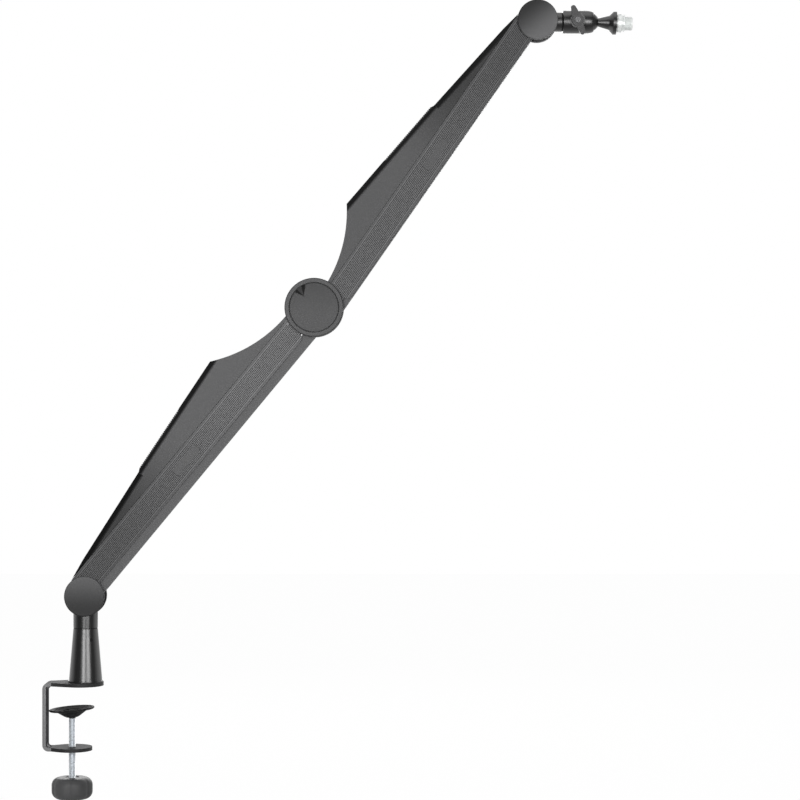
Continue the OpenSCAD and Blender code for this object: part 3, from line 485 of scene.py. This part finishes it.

# %% Finishes of the clamp and the post
# The ramp on the clamp's coat is painted shade: the outer side of its back strip, left of x = -46.4
# mm, is darker.
clamp_coat = finish("clamp_powder_coat", 0.15, 0.32, grain=0.03, grain_scale=1500, drift=0.1,
                    specular=0.5, ramps=[ramp(ORIGIN, RIGHT, -48.3, -46.4, 0.3, 1.0)])
# Darker copies of the clamp's coat, painted shade: on the strip's inner face, on the faces that look
# up and on the rims of the plates.
clamp_inner = finish("clamp_inner_coat", 0.10, 0.6, grain=0.03, grain_scale=1500, specular=0.0)
clamp_flat = finish("clamp_flat_coat", 0.080, 0.6, grain=0.03, grain_scale=1500, specular=0.04)
clamp_rim = finish("clamp_rim_coat", 0.022, 0.5, grain=0.03, grain_scale=1500, specular=0.2)
post_enamel = finish("post_gloss_enamel", 0.007, 0.28, drift=0.03, specular=0.9)
zinc = finish("bright_zinc", (0.92, 0.95, 0.98), 0.30, metal=0.55, drift=0.45, drift_scale=380)
# A darker copy of the zinc paints shade on the thread's roots and the undersides of its ridges; it
# is also rougher.
zinc_root = finish("zinc_thread_root", (0.52, 0.56, 0.60), 0.42, metal=0.4, drift=0.06,
                   drift_scale=60)
# The ramp on the hand knob is painted light and shade: lighter on the left, darker on the right.
moulded_knob = finish("knob_moulding", 0.060, 0.46, grain=0.06, grain_scale=1600, drift=0.05,
                      ramps=[ramp(ORIGIN, RIGHT, -36, 8, 1.25, 0.85)])
pad_enamel = finish("pad_gloss_enamel", 0.014, 0.55, drift=0.04, specular=0.05)
lining = finish("lining_rubber", 0.008, 0.8, grain=0.2, grain_scale=900, specular=0.05)
print("finishes", len(bpy.data.materials))

# %% Finishes of the joints and the head
cast_coat = finish("casting_powder_coat", 0.030, 0.44, grain=0.08, grain_scale=1500)
plate_coat = finish("plate_powder_coat", 0.040, 0.44, grain=0.08, grain_scale=1500)
# The ramp on the base cap is painted shade: the disc is darker towards the bottom and lighter
# towards the top.
base_cap = finish("base_cap_moulding", 0.096, 0.48, grain=0.06, grain_scale=1700, drift=0.05,
                  ramps=[ramp(BASE, UP, -20, 24, 0.22, 1.0)])
# The ramp on the head cap is painted shade and light: darker towards the upper left, lighter towards
# the lower right.
head_cap = finish("head_cap_moulding", 0.110, 0.48, grain=0.06, grain_scale=1700, drift=0.05,
                  ramps=[ramp(HEAD, RIGHT_DOWN, -12, 28, 0.12, 1.0)])
cap_moulding = finish("cap_moulding", 0.075, 0.48, grain=0.06, grain_scale=1700, drift=0.05)
bezel_satin = finish("bezel_satin", 0.050, 0.36, metal=0.2, grain=0.04, grain_scale=2000)
# The ramp on the elbow knob is painted light and shade: lighter towards the bottom, darker towards
# the top.
elbow_moulding = finish("elbow_knob_moulding", 0.064, 0.45, grain=0.06, grain_scale=1700,
                        ramps=[ramp(ELBOW, UP, -28, 28, 1.12, 0.82)])
# The notch's floor and sides are darker copies of the knob's moulding: painted shade in the recess.
notch_floor = finish("notch_floor_moulding", 0.032, 0.45, grain=0.06, grain_scale=1700)
notch_side = finish("notch_side_moulding", 0.006, 0.5, grain=0.06, grain_scale=1700)
head_satin = finish("head_satin_black", 0.007, 0.33, drift=0.05, grain=0.02, grain_scale=1600,
                    specular=0.95)
lever_satin = finish("lever_satin", 0.032, 0.36, drift=0.05, grain=0.02, grain_scale=1600,
                     specular=0.4)
screw_satin = finish("screw_satin", 0.12, 0.30, metal=0.6, drift=0.05)
nickel = finish("bright_nickel", (0.76, 0.78, 0.77), 0.40, metal=0.35, drift=0.03,
                drift_scale=60)
print("finishes", len(bpy.data.materials))

# %% Finishes of the small parts
steel = finish("ground_steel", 0.42, 0.32, metal=1.0, drift=0.06, lines=0.1, across=1800)
dark_steel = finish("blackened_steel", 0.020, 0.35, metal=0.3, drift=0.06)
bush_nylon = finish("bush_nylon", (0.55, 0.53, 0.47), 0.5, drift=0.04)
washer_fibre = finish("washer_fibre", 0.008, 0.7, grain=0.2)
spring_wire = finish("spring_wire", 0.40, 0.3, metal=1.0, drift=0.1, drift_scale=80)
lid_moulding = finish("lid_moulding", 0.020, 0.5, grain=0.08, grain_scale=1700)
print("finishes", len(bpy.data.materials))

# %% [markdown]
# The two links have one set of finishes each, because their tones change along the link: the
# shells carry painted shade towards the thin end of the housing, and the rails' tone changes too.
# Depth and distance from the link's line paint shade into the rails' grooves and margins and onto
# the bevel of the housings, and a painted highlight onto the rails' lips.

# %% Finishes of the links
link_finish = {}
for arm, shell_tone, thin_values, rail_along_values in (
    ("lower", 0.090, (90, 220, 0.30, 1.0), (60, 320, 0.75, 1.25)),
    ("upper", 0.075, (170, 290, 1.0, 0.35), (160, 380, 1.0, 0.75)),
):
    run, across = along_and_up(LINK_PITCH[arm])
    near = pivot(arm + "_pitch")
    # Painted shade: the shell grows darker towards the thin end of the housing.
    thin = ramp(near, run, *thin_values)
    # The rails' tone changes along the link: lighter towards the elbow on the lower link, darker
    # towards the head on the upper one.
    rail_along_tone = ramp(near, run, *rail_along_values)
    # Painted shade in the rails' grooves and on their margins, where it stands in for ribs, and a
    # painted highlight on the lips at their edges.
    groove = ramp(ORIGIN, DEPTH, 10.0, 10.4, 0.14, 1.0, both=1.0)
    margin = ramp(near, across, 11.2, 11.5, 1.0, 0.50, both=1.0)
    lip = ramp(near, across, 13.1, 13.4, 1.0, 1.9, both=1.0)
    # Painted shade on the bevel of the housings, which turns nearly black.
    bevel = ramp(ORIGIN, DEPTH, 8.6, 10.3, 0.06, 1.0, both=1.0)
    link_finish[arm] = {
        "rail": finish(arm + "_rail_anodised", 0.116, 0.42, metal=0.2,
                       ramps=[groove, margin, lip, rail_along_tone]),
        "shell": finish(arm + "_shell_moulding", shell_tone, 0.50, grain=0.06, grain_scale=1700,
                        ramps=[bevel, thin]),
        "tie": finish(arm + "_tie_powder_coat", 0.090, 0.45, grain=0.06, grain_scale=1500),
        "badge": finish(arm + "_badge_satin", 0.060, 0.38, metal=0.2),
    }
print("finishes", len(bpy.data.materials), "pitches", LINK_PITCH)

# %% [markdown]
# ## Rounded edges
# No real edge is perfectly sharp: a radius of a few tenths of a millimetre catches the light and
# tells metal from card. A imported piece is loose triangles, so a copy is merged, its flat faces are
# joined again, and its sharp edges get a small bevel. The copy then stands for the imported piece.

# %% Edge rounding
SHARP = math.radians(28)
WELD = 2e-6
SLIVER = 1e-6
FLAT = math.radians(0.4)


def is_sharp(edge):
    return len(edge.link_faces) == 2 and edge.calc_face_angle(0) > SHARP


def as_mesh(bm, name):
    mesh = bpy.data.meshes.new(name)
    bm.to_mesh(mesh)
    bm.free()
    return mesh


def as_piece(bm, name, mat):
    """A new object of this shape and finish, smooth but for its sharp edges."""
    for face in bm.faces:
        face.smooth = True
    for edge in bm.edges:
        edge.smooth = not is_sharp(edge)
    mesh = as_mesh(bm, name)
    mesh.materials.append(mat)
    piece = bpy.data.objects.new(name, mesh)
    scene.collection.objects.link(piece)
    return piece


def rounded_copy(node, width, mat, rides=True):
    """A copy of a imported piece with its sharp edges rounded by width, in millimetres."""
    bm = bmesh.new()
    bm.from_mesh(nodes[node].data)
    bmesh.ops.remove_doubles(bm, verts=bm.verts, dist=WELD)
    bmesh.ops.dissolve_degenerate(bm, edges=bm.edges, dist=SLIVER)
    bmesh.ops.dissolve_limit(bm, angle_limit=FLAT, verts=bm.verts, edges=bm.edges)
    if width:
        edges = [e for e in bm.edges if is_sharp(e)]
        bmesh.ops.bevel(bm, geom=edges, offset=width * MM, offset_type="OFFSET", segments=2,
                        profile=0.6, affect="EDGES", clamp_overlap=True)
    piece = as_piece(bm, node + "_rounded", mat)
    body = nodes[node]["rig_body"]
    if width:
        even = piece.modifiers.new("even_normals", "WEIGHTED_NORMAL")
        even.keep_sharp = True
    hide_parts(node)
    if rides:
        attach(piece, body)
    return piece


def paint_faces(piece, mat, chosen):
    """Gives a second finish to the faces of a piece that a test on them chooses. Several of
    the second finishes here are darker copies of the first: painted shade.
    """
    piece.data.materials.append(mat)
    slot = len(piece.data.materials) - 1
    for face in piece.data.polygons:
        if chosen(face.center / MM, face.normal):
            face.material_index = slot


def dress(node, mat):
    """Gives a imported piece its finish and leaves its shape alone."""
    nodes[node].data.materials.clear()
    nodes[node].data.materials.append(mat)


# %% Rounded pieces
rounded = {}
for node, width, mat in (
    ("clamp_frame", 0.6, clamp_coat),
    ("foot_ring", 0.4, post_enamel),
    ("post_cone", 0.3, post_enamel),
    ("base_hub", 0.3, cast_coat),
    ("base_caps", 0.3, base_cap),
    ("elbow_front_plate", 0.2, plate_coat),
    ("elbow_rear_plate", 0.2, plate_coat),
    ("elbow_spacers", 0.2, cast_coat),
    ("elbow_bezel", 0.3, bezel_satin),
    ("elbow_rear_cap", 0.3, cap_moulding),
    ("elbow_knob", 0.3, elbow_moulding),
    ("head_hub", 0.3, head_satin),
    ("head_caps", 0.3, head_cap),
    ("ball_housing", 0.3, head_satin),
    ("ball_stem", 0.2, head_satin),
    ("stem_collar", 0.4, head_satin),
    ("wing_lever", 0.9, lever_satin),
    ("pressure_pad", 0.3, pad_enamel),
):
    rounded[node] = rounded_copy(node, width, mat)
for arm in ("lower", "upper"):
    looks = link_finish[arm]
    for node, width, mat in (
        ("_front_shell", 0.6, looks["shell"]),
        ("_rear_shell", 0.6, looks["shell"]),
        ("_front_rail", 0.12, looks["rail"]),
        ("_rear_rail", 0.12, looks["rail"]),
        ("_tie_bar", 0.4, looks["tie"]),
        ("_cable_lid", 0.15, lid_moulding),
        ("_badge", 0.2, looks["badge"]),
    ):
        rounded[arm + node] = rounded_copy(arm + node, width, mat)
print("rounded", len(rounded), "pieces")

# %% [markdown]
# Some imported pieces get a second finish on some faces. A test on a face's place, in millimetres,
# and on its direction chooses the faces. The neck of the base hub takes the post's gloss enamel.
# The clamp's inner, upper and rim faces, and the facets of the thumb notch in the tension knob,
# which lie below the knob's slightly domed face, take darker copies of their finish: painted shade.

# %% Second finishes and painted shade
NECK_TOP = 79.5
STRIP_TO = -38
PLATES_FROM = -34
FACING = 0.6
DOME_RISE = 1.6
DOME_RADIUS = 28.0
NOTCH_REACH = 27.2
NOTCH_DEPTH = 0.25
NOTCH_TILT = 0.2
NOTCH_ACROSS = along_and_up(121)[1]
knob_at = ELBOW / MM
knob_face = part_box("elbow_knob")[0][1] / MM


def on_strip(place, normal):
    return place.x < STRIP_TO and normal.x > FACING


def on_rim(place, normal):
    return place.x > PLATES_FROM and abs(normal.z) < FACING


def in_notch(place, normal):
    apart = math.hypot(place.x - knob_at.x, place.z - knob_at.z)
    dome = knob_face + DOME_RISE * (apart / DOME_RADIUS) ** 2
    return apart < NOTCH_REACH and place.y > dome + NOTCH_DEPTH and normal.y < -NOTCH_TILT


def in_notch_side(place, normal):
    return in_notch(place, normal) and abs(normal.dot(NOTCH_ACROSS)) > NOTCH_TILT


# Painted shade on the clamp's inner, upward and rim faces.
paint_faces(rounded["clamp_frame"], clamp_inner, on_strip)
paint_faces(rounded["clamp_frame"], clamp_flat, lambda place, normal: normal.z > FACING)
paint_faces(rounded["clamp_frame"], clamp_rim, on_rim)
paint_faces(rounded["base_hub"], post_enamel, lambda place, normal: place.z < NECK_TOP)
# Painted shade on the facets of the thumb notch.
paint_faces(rounded["elbow_knob"], notch_floor, in_notch)
paint_faces(rounded["elbow_knob"], notch_side, in_notch_side)
for node in ("base_hub", "elbow_knob"):
    mesh = rounded[node].data
    slots = [face.material_index for face in mesh.polygons]
    print(node, "faces by finish", [slots.count(i) for i in range(len(mesh.materials))])

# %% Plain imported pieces
plain = (
    ("post_bolt", steel), ("post_bushes", bush_nylon), ("set_screw", dark_steel),
    ("swivel_washer", washer_fibre), ("thrust_ball", dark_steel), ("spindle_rivet", lining),
    ("pad_lining", lining), ("swivel_pin", steel), ("swivel_clip", steel), ("base_pins", steel),
    ("elbow_pins", dark_steel), ("tension_nut", dark_steel), ("friction_washer", washer_fibre),
    ("knob_stud", steel), ("head_pins", steel), ("pressure_plunger", steel),
    ("ball_seat", bush_nylon), ("wing_screw", screw_satin),
    ("lower_bushes", bush_nylon), ("upper_bushes", bush_nylon), ("lower_fixings", dark_steel),
    ("upper_fixings", dark_steel),
)
for node, mat in plain:
    dress(node, mat)
print("dressed", len(plain), "packed pieces as they are")

# %% [markdown]
# ## Springs
# A spring hangs on a pin of the hub at one end and on a pin of the link at the other. The spring
# is copied in place, not carried by either body, and the distance between its pins is printed.
# The hub's pin stands lift above the pitch joint. The link's pin is reach along the link from the
# joint named and rise above the link's line, all in millimetres.

# %% Springs
spring_ends = {}
for arm, hub, lift, from_joint, reach, rise in (
    ("lower", "base", 11, "elbow_level", -125, 22),
    ("upper", "elbow", 8, "upper_pitch", 300, 14),
):
    run, up = along_and_up(LINK_PITCH[arm])
    hook = pivot(arm + "_pitch") + Vector((0, 0, lift * MM))
    far = pivot(from_joint) + (run * reach + up * rise) * MM
    spring = rounded_copy(arm + "_spring", 0, spring_wire, rides=False)
    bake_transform(spring)
    spring_ends[arm] = round((far - hook).length / MM, 1)
print("springs, pin to pin", spring_ends)

# %% [markdown]
# ## Screw threads
# A thread is one ridge that winds up a core, so it follows a rule: radius, pitch and length. The
# Geometry Nodes tree sweeps a small square ridge, which stands on its corner, along a spiral and
# adds the core. It is used for the clamping screw and for the microphone thread.


# %% Thread tree
def thread_tree():
    tree = bpy.data.node_groups.new("screw_thread", "GeometryNodeTree")
    face = tree.interface
    labels = (("Core Radius", 0.0035), ("Ridge", 0.0006), ("Pitch", 0.00125), ("Length", 0.06))
    for label, value in labels:
        face.new_socket(label, in_out="INPUT", socket_type=F).default_value = value
    face.new_socket("Material", in_out="INPUT", socket_type="NodeSocketMaterial")
    face.new_socket("Geometry", in_out="OUTPUT", socket_type="NodeSocketGeometry")
    n, link = tree.nodes, tree.links
    start = n.new("NodeGroupInput")
    end = n.new("NodeGroupOutput")

    core = n.new("GeometryNodeMeshCylinder")
    core.inputs["Vertices"].default_value = 48
    link.new(start.outputs["Core Radius"], core.inputs["Radius"])
    link.new(start.outputs["Length"], core.inputs["Depth"])
    half = maths(n, link, "MULTIPLY", start.outputs["Length"], 0.5)
    lift = n.new("ShaderNodeCombineXYZ")
    link.new(half, lift.inputs["Z"])
    stand = n.new("GeometryNodeTransform")
    link.new(core.outputs["Mesh"], stand.inputs["Geometry"])
    link.new(lift.outputs[0], stand.inputs["Translation"])
    run = maths(n, link, "SUBTRACT", start.outputs["Length"], start.outputs["Pitch"])
    turns = maths(n, link, "DIVIDE", run, start.outputs["Pitch"])
    spiral = n.new("GeometryNodeCurveSpiral")
    spiral.inputs["Resolution"].default_value = 28
    link.new(turns, spiral.inputs["Rotations"])
    for socket in ("Start Radius", "End Radius"):
        link.new(start.outputs["Core Radius"], spiral.inputs[socket])
    link.new(run, spiral.inputs["Height"])
    rise = n.new("ShaderNodeCombineXYZ")
    link.new(maths(n, link, "MULTIPLY", start.outputs["Pitch"], 0.5), rise.inputs["Z"])
    lifted = n.new("GeometryNodeTransform")
    link.new(spiral.outputs["Curve"], lifted.inputs["Geometry"])
    link.new(rise.outputs[0], lifted.inputs["Translation"])
    upright = n.new("GeometryNodeSetCurveNormal")
    upright.mode = "Z_UP"
    link.new(lifted.outputs[0], upright.inputs["Curve"])
    ridge = n.new("GeometryNodeCurvePrimitiveCircle")
    ridge.inputs["Resolution"].default_value = 4
    link.new(start.outputs["Ridge"], ridge.inputs["Radius"])
    sweep = n.new("GeometryNodeCurveToMesh")
    sweep.inputs["Fill Caps"].default_value = True
    link.new(upright.outputs[0], sweep.inputs["Curve"])
    link.new(ridge.outputs["Curve"], sweep.inputs["Profile Curve"])
    both = n.new("GeometryNodeJoinGeometry")
    link.new(stand.outputs[0], both.inputs[0])
    link.new(sweep.outputs[0], both.inputs[0])
    real = n.new("GeometryNodeRealizeInstances")
    link.new(both.outputs[0], real.inputs[0])
    coat = n.new("GeometryNodeSetMaterial")
    link.new(real.outputs[0], coat.inputs["Geometry"])
    link.new(start.outputs["Material"], coat.inputs["Material"])
    link.new(coat.outputs[0], end.inputs["Geometry"])
    return tree


THREAD = thread_tree()
print("tree", THREAD.name)


# %% Helpers for wound and turned pieces
def wound(tree, **sizes):
    """The plain mesh that a Geometry Nodes tree makes from these inputs."""
    holder = bpy.data.objects.new("holder", bpy.data.meshes.new("holder"))
    scene.collection.objects.link(holder)
    mod = holder.modifiers.new("tree", "NODES")
    mod.node_group = tree
    for item in tree.interface.items_tree:
        key = item.name.replace(" ", "_")
        if item.in_out == "INPUT" and key in sizes:
            mod[item.identifier] = sizes[key]
    bpy.context.view_layer.update()
    graph = bpy.context.evaluated_depsgraph_get()
    mesh = bpy.data.meshes.new_from_object(holder.evaluated_get(graph), depsgraph=graph)
    bpy.data.objects.remove(holder)
    return mesh


def lathe(profile, steps=96, ring=False):
    """A closed shape turned about Z from (radius, height) pairs, in millimetres. A ring's
    profile joins its last pair to its first."""
    bm = bmesh.new()
    rings = []
    for r, z in profile:
        if r == 0:
            rings.append([bm.verts.new((0, 0, z * MM))])
            continue
        angles = [2 * math.pi * i / steps for i in range(steps)]
        rings.append([bm.verts.new((r * MM * math.cos(a), r * MM * math.sin(a), z * MM))
                      for a in angles])
    for low, high in zip(rings, rings[1:] + rings[:1] if ring else rings[1:]):
        for i in range(steps):
            j = (i + 1) % steps
            if len(low) == 1:
                bm.faces.new((low[0], high[j], high[i]))
            elif len(high) == 1:
                bm.faces.new((low[i], low[j], high[0]))
            else:
                bm.faces.new((low[i], low[j], high[j], high[i]))
    bmesh.ops.recalc_face_normals(bm, faces=bm.faces)
    return as_mesh(bm, "turned")


def gather(name, meshes, mat, body, *stands_for):
    """Joins meshes that are already in place into one piece on a body."""
    bm = bmesh.new()
    for mesh in meshes:
        bm.from_mesh(mesh)
    for face in bm.faces:
        face.material_index = 0
    piece = as_piece(bm, name, mat)
    if stands_for:
        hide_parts(*stands_for)
    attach(piece, body)
    return piece


# %% [markdown]
# ## The clamping screw
# The screw is an M8 thread with a plain pin on top, for the thrust ball, and a plain end that
# sits in the hand knob. The thread's roots and the undersides of its ridges take a darker,
# rougher copy of the zinc: the darker colour is painted shade.

# %% Clamping screw
PIN_LENGTH = 0.0086
IN_KNOB = 0.004
ROOT_RADIUS = 3.62
UNDERSIDE = -0.25
low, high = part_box("clamp_spindle")
axis_x = (low[0] + high[0]) / 2
knob_low, knob_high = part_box("clamp_knob")
shoulder = high[2] - PIN_LENGTH
screw_base = knob_high[2] - IN_KNOB
screw_length = shoulder - knob_high[2] + IN_KNOB
screw = wound(THREAD, Core_Radius=0.00348, Ridge=0.00052, Pitch=0.00125, Length=screw_length)
screw.transform(Matrix.Translation((axis_x, 0, screw_base)))
top = shoulder / MM
tip = high[2] / MM
pin = lathe([(0, top - 2), (3.4, top - 2), (3.4, top - 0.01), (3.0, top), (3.0, tip), (0, tip)],
            48)
seat = knob_high[2] / MM
socket = lathe([(0, seat - 12), (3.9, seat - 12), (3.9, seat - 3), (0, seat - 3)], 48)
for mesh in (pin, socket):
    mesh.transform(Matrix.Translation((axis_x, 0, 0)))
spindle = gather("clamp_screw_threaded", [screw, pin, socket], zinc, "clamp_screw",
                 "clamp_spindle")


def on_root(place, normal):
    from_axis = math.hypot(place.x - axis_x / MM, place.y)
    return normal.z < UNDERSIDE or from_axis < ROOT_RADIUS


# Painted shade on the thread's roots and the undersides of its ridges.
paint_faces(spindle, zinc_root, on_root)
print("clamping screw", round(screw_length / MM, 1), "mm of thread")

# %% [markdown]
# ## The microphone thread
# The bright adaptor is a turned piece: two rings with a groove between them, then the standard
# thread that takes a microphone clip. It is turned upright at the origin and then laid along the
# stem, which starts at the ball's pivot and droops a little.

# %% Microphone adaptor
COLLAR = 26.7 + 4.1
DROOP = math.radians(2.3)
ball_at = pivot("ball_tilt")
stem_turn = Matrix.Translation(ball_at) @ Matrix.Rotation(math.radians(90) + DROOP, 4, "Y")
rings = lathe(
    [(0, 0), (9, 0), (9, 1.2), (9.9, 1.2), (10.35, 1.35), (10.5, 1.8), (10.5, 5.3), (10.35, 5.75),
     (9.9, 5.9), (8.4, 5.9), (8.4, 7.1), (9.1, 7.1), (9.55, 7.25), (9.7, 7.7), (9.7, 8.8),
     (9.55, 9.25), (9.1, 9.4), (7.3, 9.4), (7.3, 10.0), (0, 10.0)]
)
rings.transform(stem_turn @ Matrix.Translation((0, 0, COLLAR * MM)))
mic_thread = wound(THREAD, Core_Radius=0.00738, Ridge=0.00056, Pitch=0.000941, Length=0.0084)
mic_thread.transform(stem_turn @ Matrix.Translation((0, 0, (COLLAR + 9.4) * MM)))
nose = lathe([(7.38, 0), (7.38, 0.1), (6.9, 0.5), (5.6, 0.5), (5.3, 0.2), (0, 0.2)], 48)
nose.transform(stem_turn @ Matrix.Translation((0, 0, (COLLAR + 17.8) * MM)))
adaptor = gather("microphone_adaptor", [rings, mic_thread, nose], nickel, "ball_stem",
                 "thread_adaptor")
print("adaptor", len(adaptor.data.polygons), "faces")

# %% [markdown]
# ## Small pieces of the joints
# The mouth of the ball's housing is turned to a soft dome, a fibre ring closes the seam in front
# of it, and thin webs close the corners of the lower rails beside the elbow.

# %% Housing mouth and dust ring
housing_start = Vector((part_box("ball_housing")[0][0], 0, ball_at.z))
laid = Matrix.Translation(housing_start) @ Matrix.Rotation(math.radians(90), 4, "Y")
dome = [(13.06, 24), (13.01, 27), (12.76, 30), (12.30, 32.5), (11.78, 34.2), (11.25, 35.1),
        (10.75, 35.3), (10.35, 35.2), (10.6, 34.4), (12.6, 24)]
mouth = lathe(dome, ring=True)
mouth.transform(laid)
gather("ball_housing_mouth", [mouth], head_satin, nodes["ball_housing"]["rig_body"])
dust = lathe([(5.15, -1.25), (10.6, -1.25), (10.6, -0.05), (5.15, -0.05)], ring=True)
dust.transform(laid)
gather("neck_dust_ring", [dust], washer_fibre, nodes["ball_housing"]["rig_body"])

# %% Corner webs of the lower rails
WEB_OUTLINE = ((2.2, 8.5), (9.0, 8.5), (9.0, 14.0), (2.2, 14.0))
WEB_DEPTHS = ((-10.7, -10.4), (-7.95, -7.65), (7.65, 7.95), (10.4, 10.7))
run, up = along_and_up(LINK_PITCH["lower"])
webs = []
for depths in WEB_DEPTHS:
    bm = bmesh.new()
    corners = []
    for y in depths:
        ring = [pivot("elbow_level") + (up * v - run * u) * MM + Vector((0, y * MM, 0))
                for u, v in WEB_OUTLINE]
        corners.append([bm.verts.new(c) for c in ring])
    bm.faces.new(corners[0])
    bm.faces.new(corners[1])
    for i in range(4):
        j = (i + 1) % 4
        bm.faces.new((corners[0][i], corners[0][j], corners[1][j], corners[1][i]))
    bmesh.ops.recalc_face_normals(bm, faces=bm.faces)
    webs.append(as_mesh(bm, "web"))
gather("lower_corner_webs", webs, link_finish["lower"]["rail"],
       nodes["lower_front_rail"]["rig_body"])

# %% [markdown]
# ## The clamp's hand knob
# The knob is a moulding whose flutes fade out towards its rounded ends. A cut cannot do that, so
# the side is one smooth surface: its radius follows the height and the angle by a formula. A
# stepped recess on top takes the screw.


# %% Hand knob
CORNER_STEPS = 8
FLUTE_SHARPNESS = 1.2
FLUTE_FADE = 1.5


def knob_profile(radius, height, corner):
    """(radius, height) pairs of the side, with a quarter round at the bottom and at the top."""
    quarter = [math.pi / 2 * i / CORNER_STEPS for i in range(CORNER_STEPS + 1)]
    core = radius - corner
    low = [(core + corner * math.sin(a), corner - corner * math.cos(a)) for a in quarter]
    high = [(core + corner * math.cos(a), height - corner + corner * math.sin(a))
            for a in quarter]
    return low + high


def fluted_knob(radius, height, corner, flutes, depth, steps=192):
    """A knob that stands on the origin. Its sizes are in millimetres."""
    bm = bmesh.new()
    angles = [2 * math.pi * k / steps for k in range(steps)]

    def row_at(radii, z):
        return [bm.verts.new((r * MM * math.cos(a), r * MM * math.sin(a), z * MM))
                for r, a in zip(radii, angles)]

    rows = []
    for r, z in knob_profile(radius, height, corner):
        fade = max(0.0, (r - (radius - corner)) / corner) ** FLUTE_FADE
        waves = [(1 - abs(math.sin(flutes * a / 2))) ** FLUTE_SHARPNESS for a in angles]
        rows.append(row_at([r - depth * wave * fade for wave in waves], z))
    under = bm.verts.new((0, 0, 0))
    recess = ((8.5, height), (7.6, height - 0.9), (4.3, height - 0.9), (4.3, height - 4.0))
    for r, z in recess:
        rows.append(row_at([r] * steps, z))
    for k in range(steps):
        m = (k + 1) % steps
        bm.faces.new((rows[0][m], rows[0][k], under))
        for low_row, high_row in zip(rows, rows[1:]):
            bm.faces.new((low_row[k], low_row[m], high_row[m], high_row[k]))
    bmesh.ops.contextual_create(bm, geom=rows[-1])
    bmesh.ops.recalc_face_normals(bm, faces=bm.faces)
    return as_mesh(bm, "fluted")


KNOB_TURN = math.radians(30)
knob_radius = (knob_high[0] - knob_low[0]) / 2 / MM
knob_height = (knob_high[2] - knob_low[2]) / MM
knob = fluted_knob(knob_radius, knob_height, corner=9.0, flutes=6, depth=1.5)
knob.transform(Matrix.Translation((axis_x, 0, knob_low[2])) @ Matrix.Rotation(KNOB_TURN, 4, "Z"))
gather("clamp_hand_knob", [knob], moulded_knob, "clamp_screw", "clamp_knob")
print("hand knob", round(2 * knob_radius, 1), "mm across,", round(knob_height, 1), "mm tall")

# %% [markdown]
# ## Finish
# The picture is shown through the Standard view transform.

# %% View transform
scene.view_settings.view_transform = "Standard"
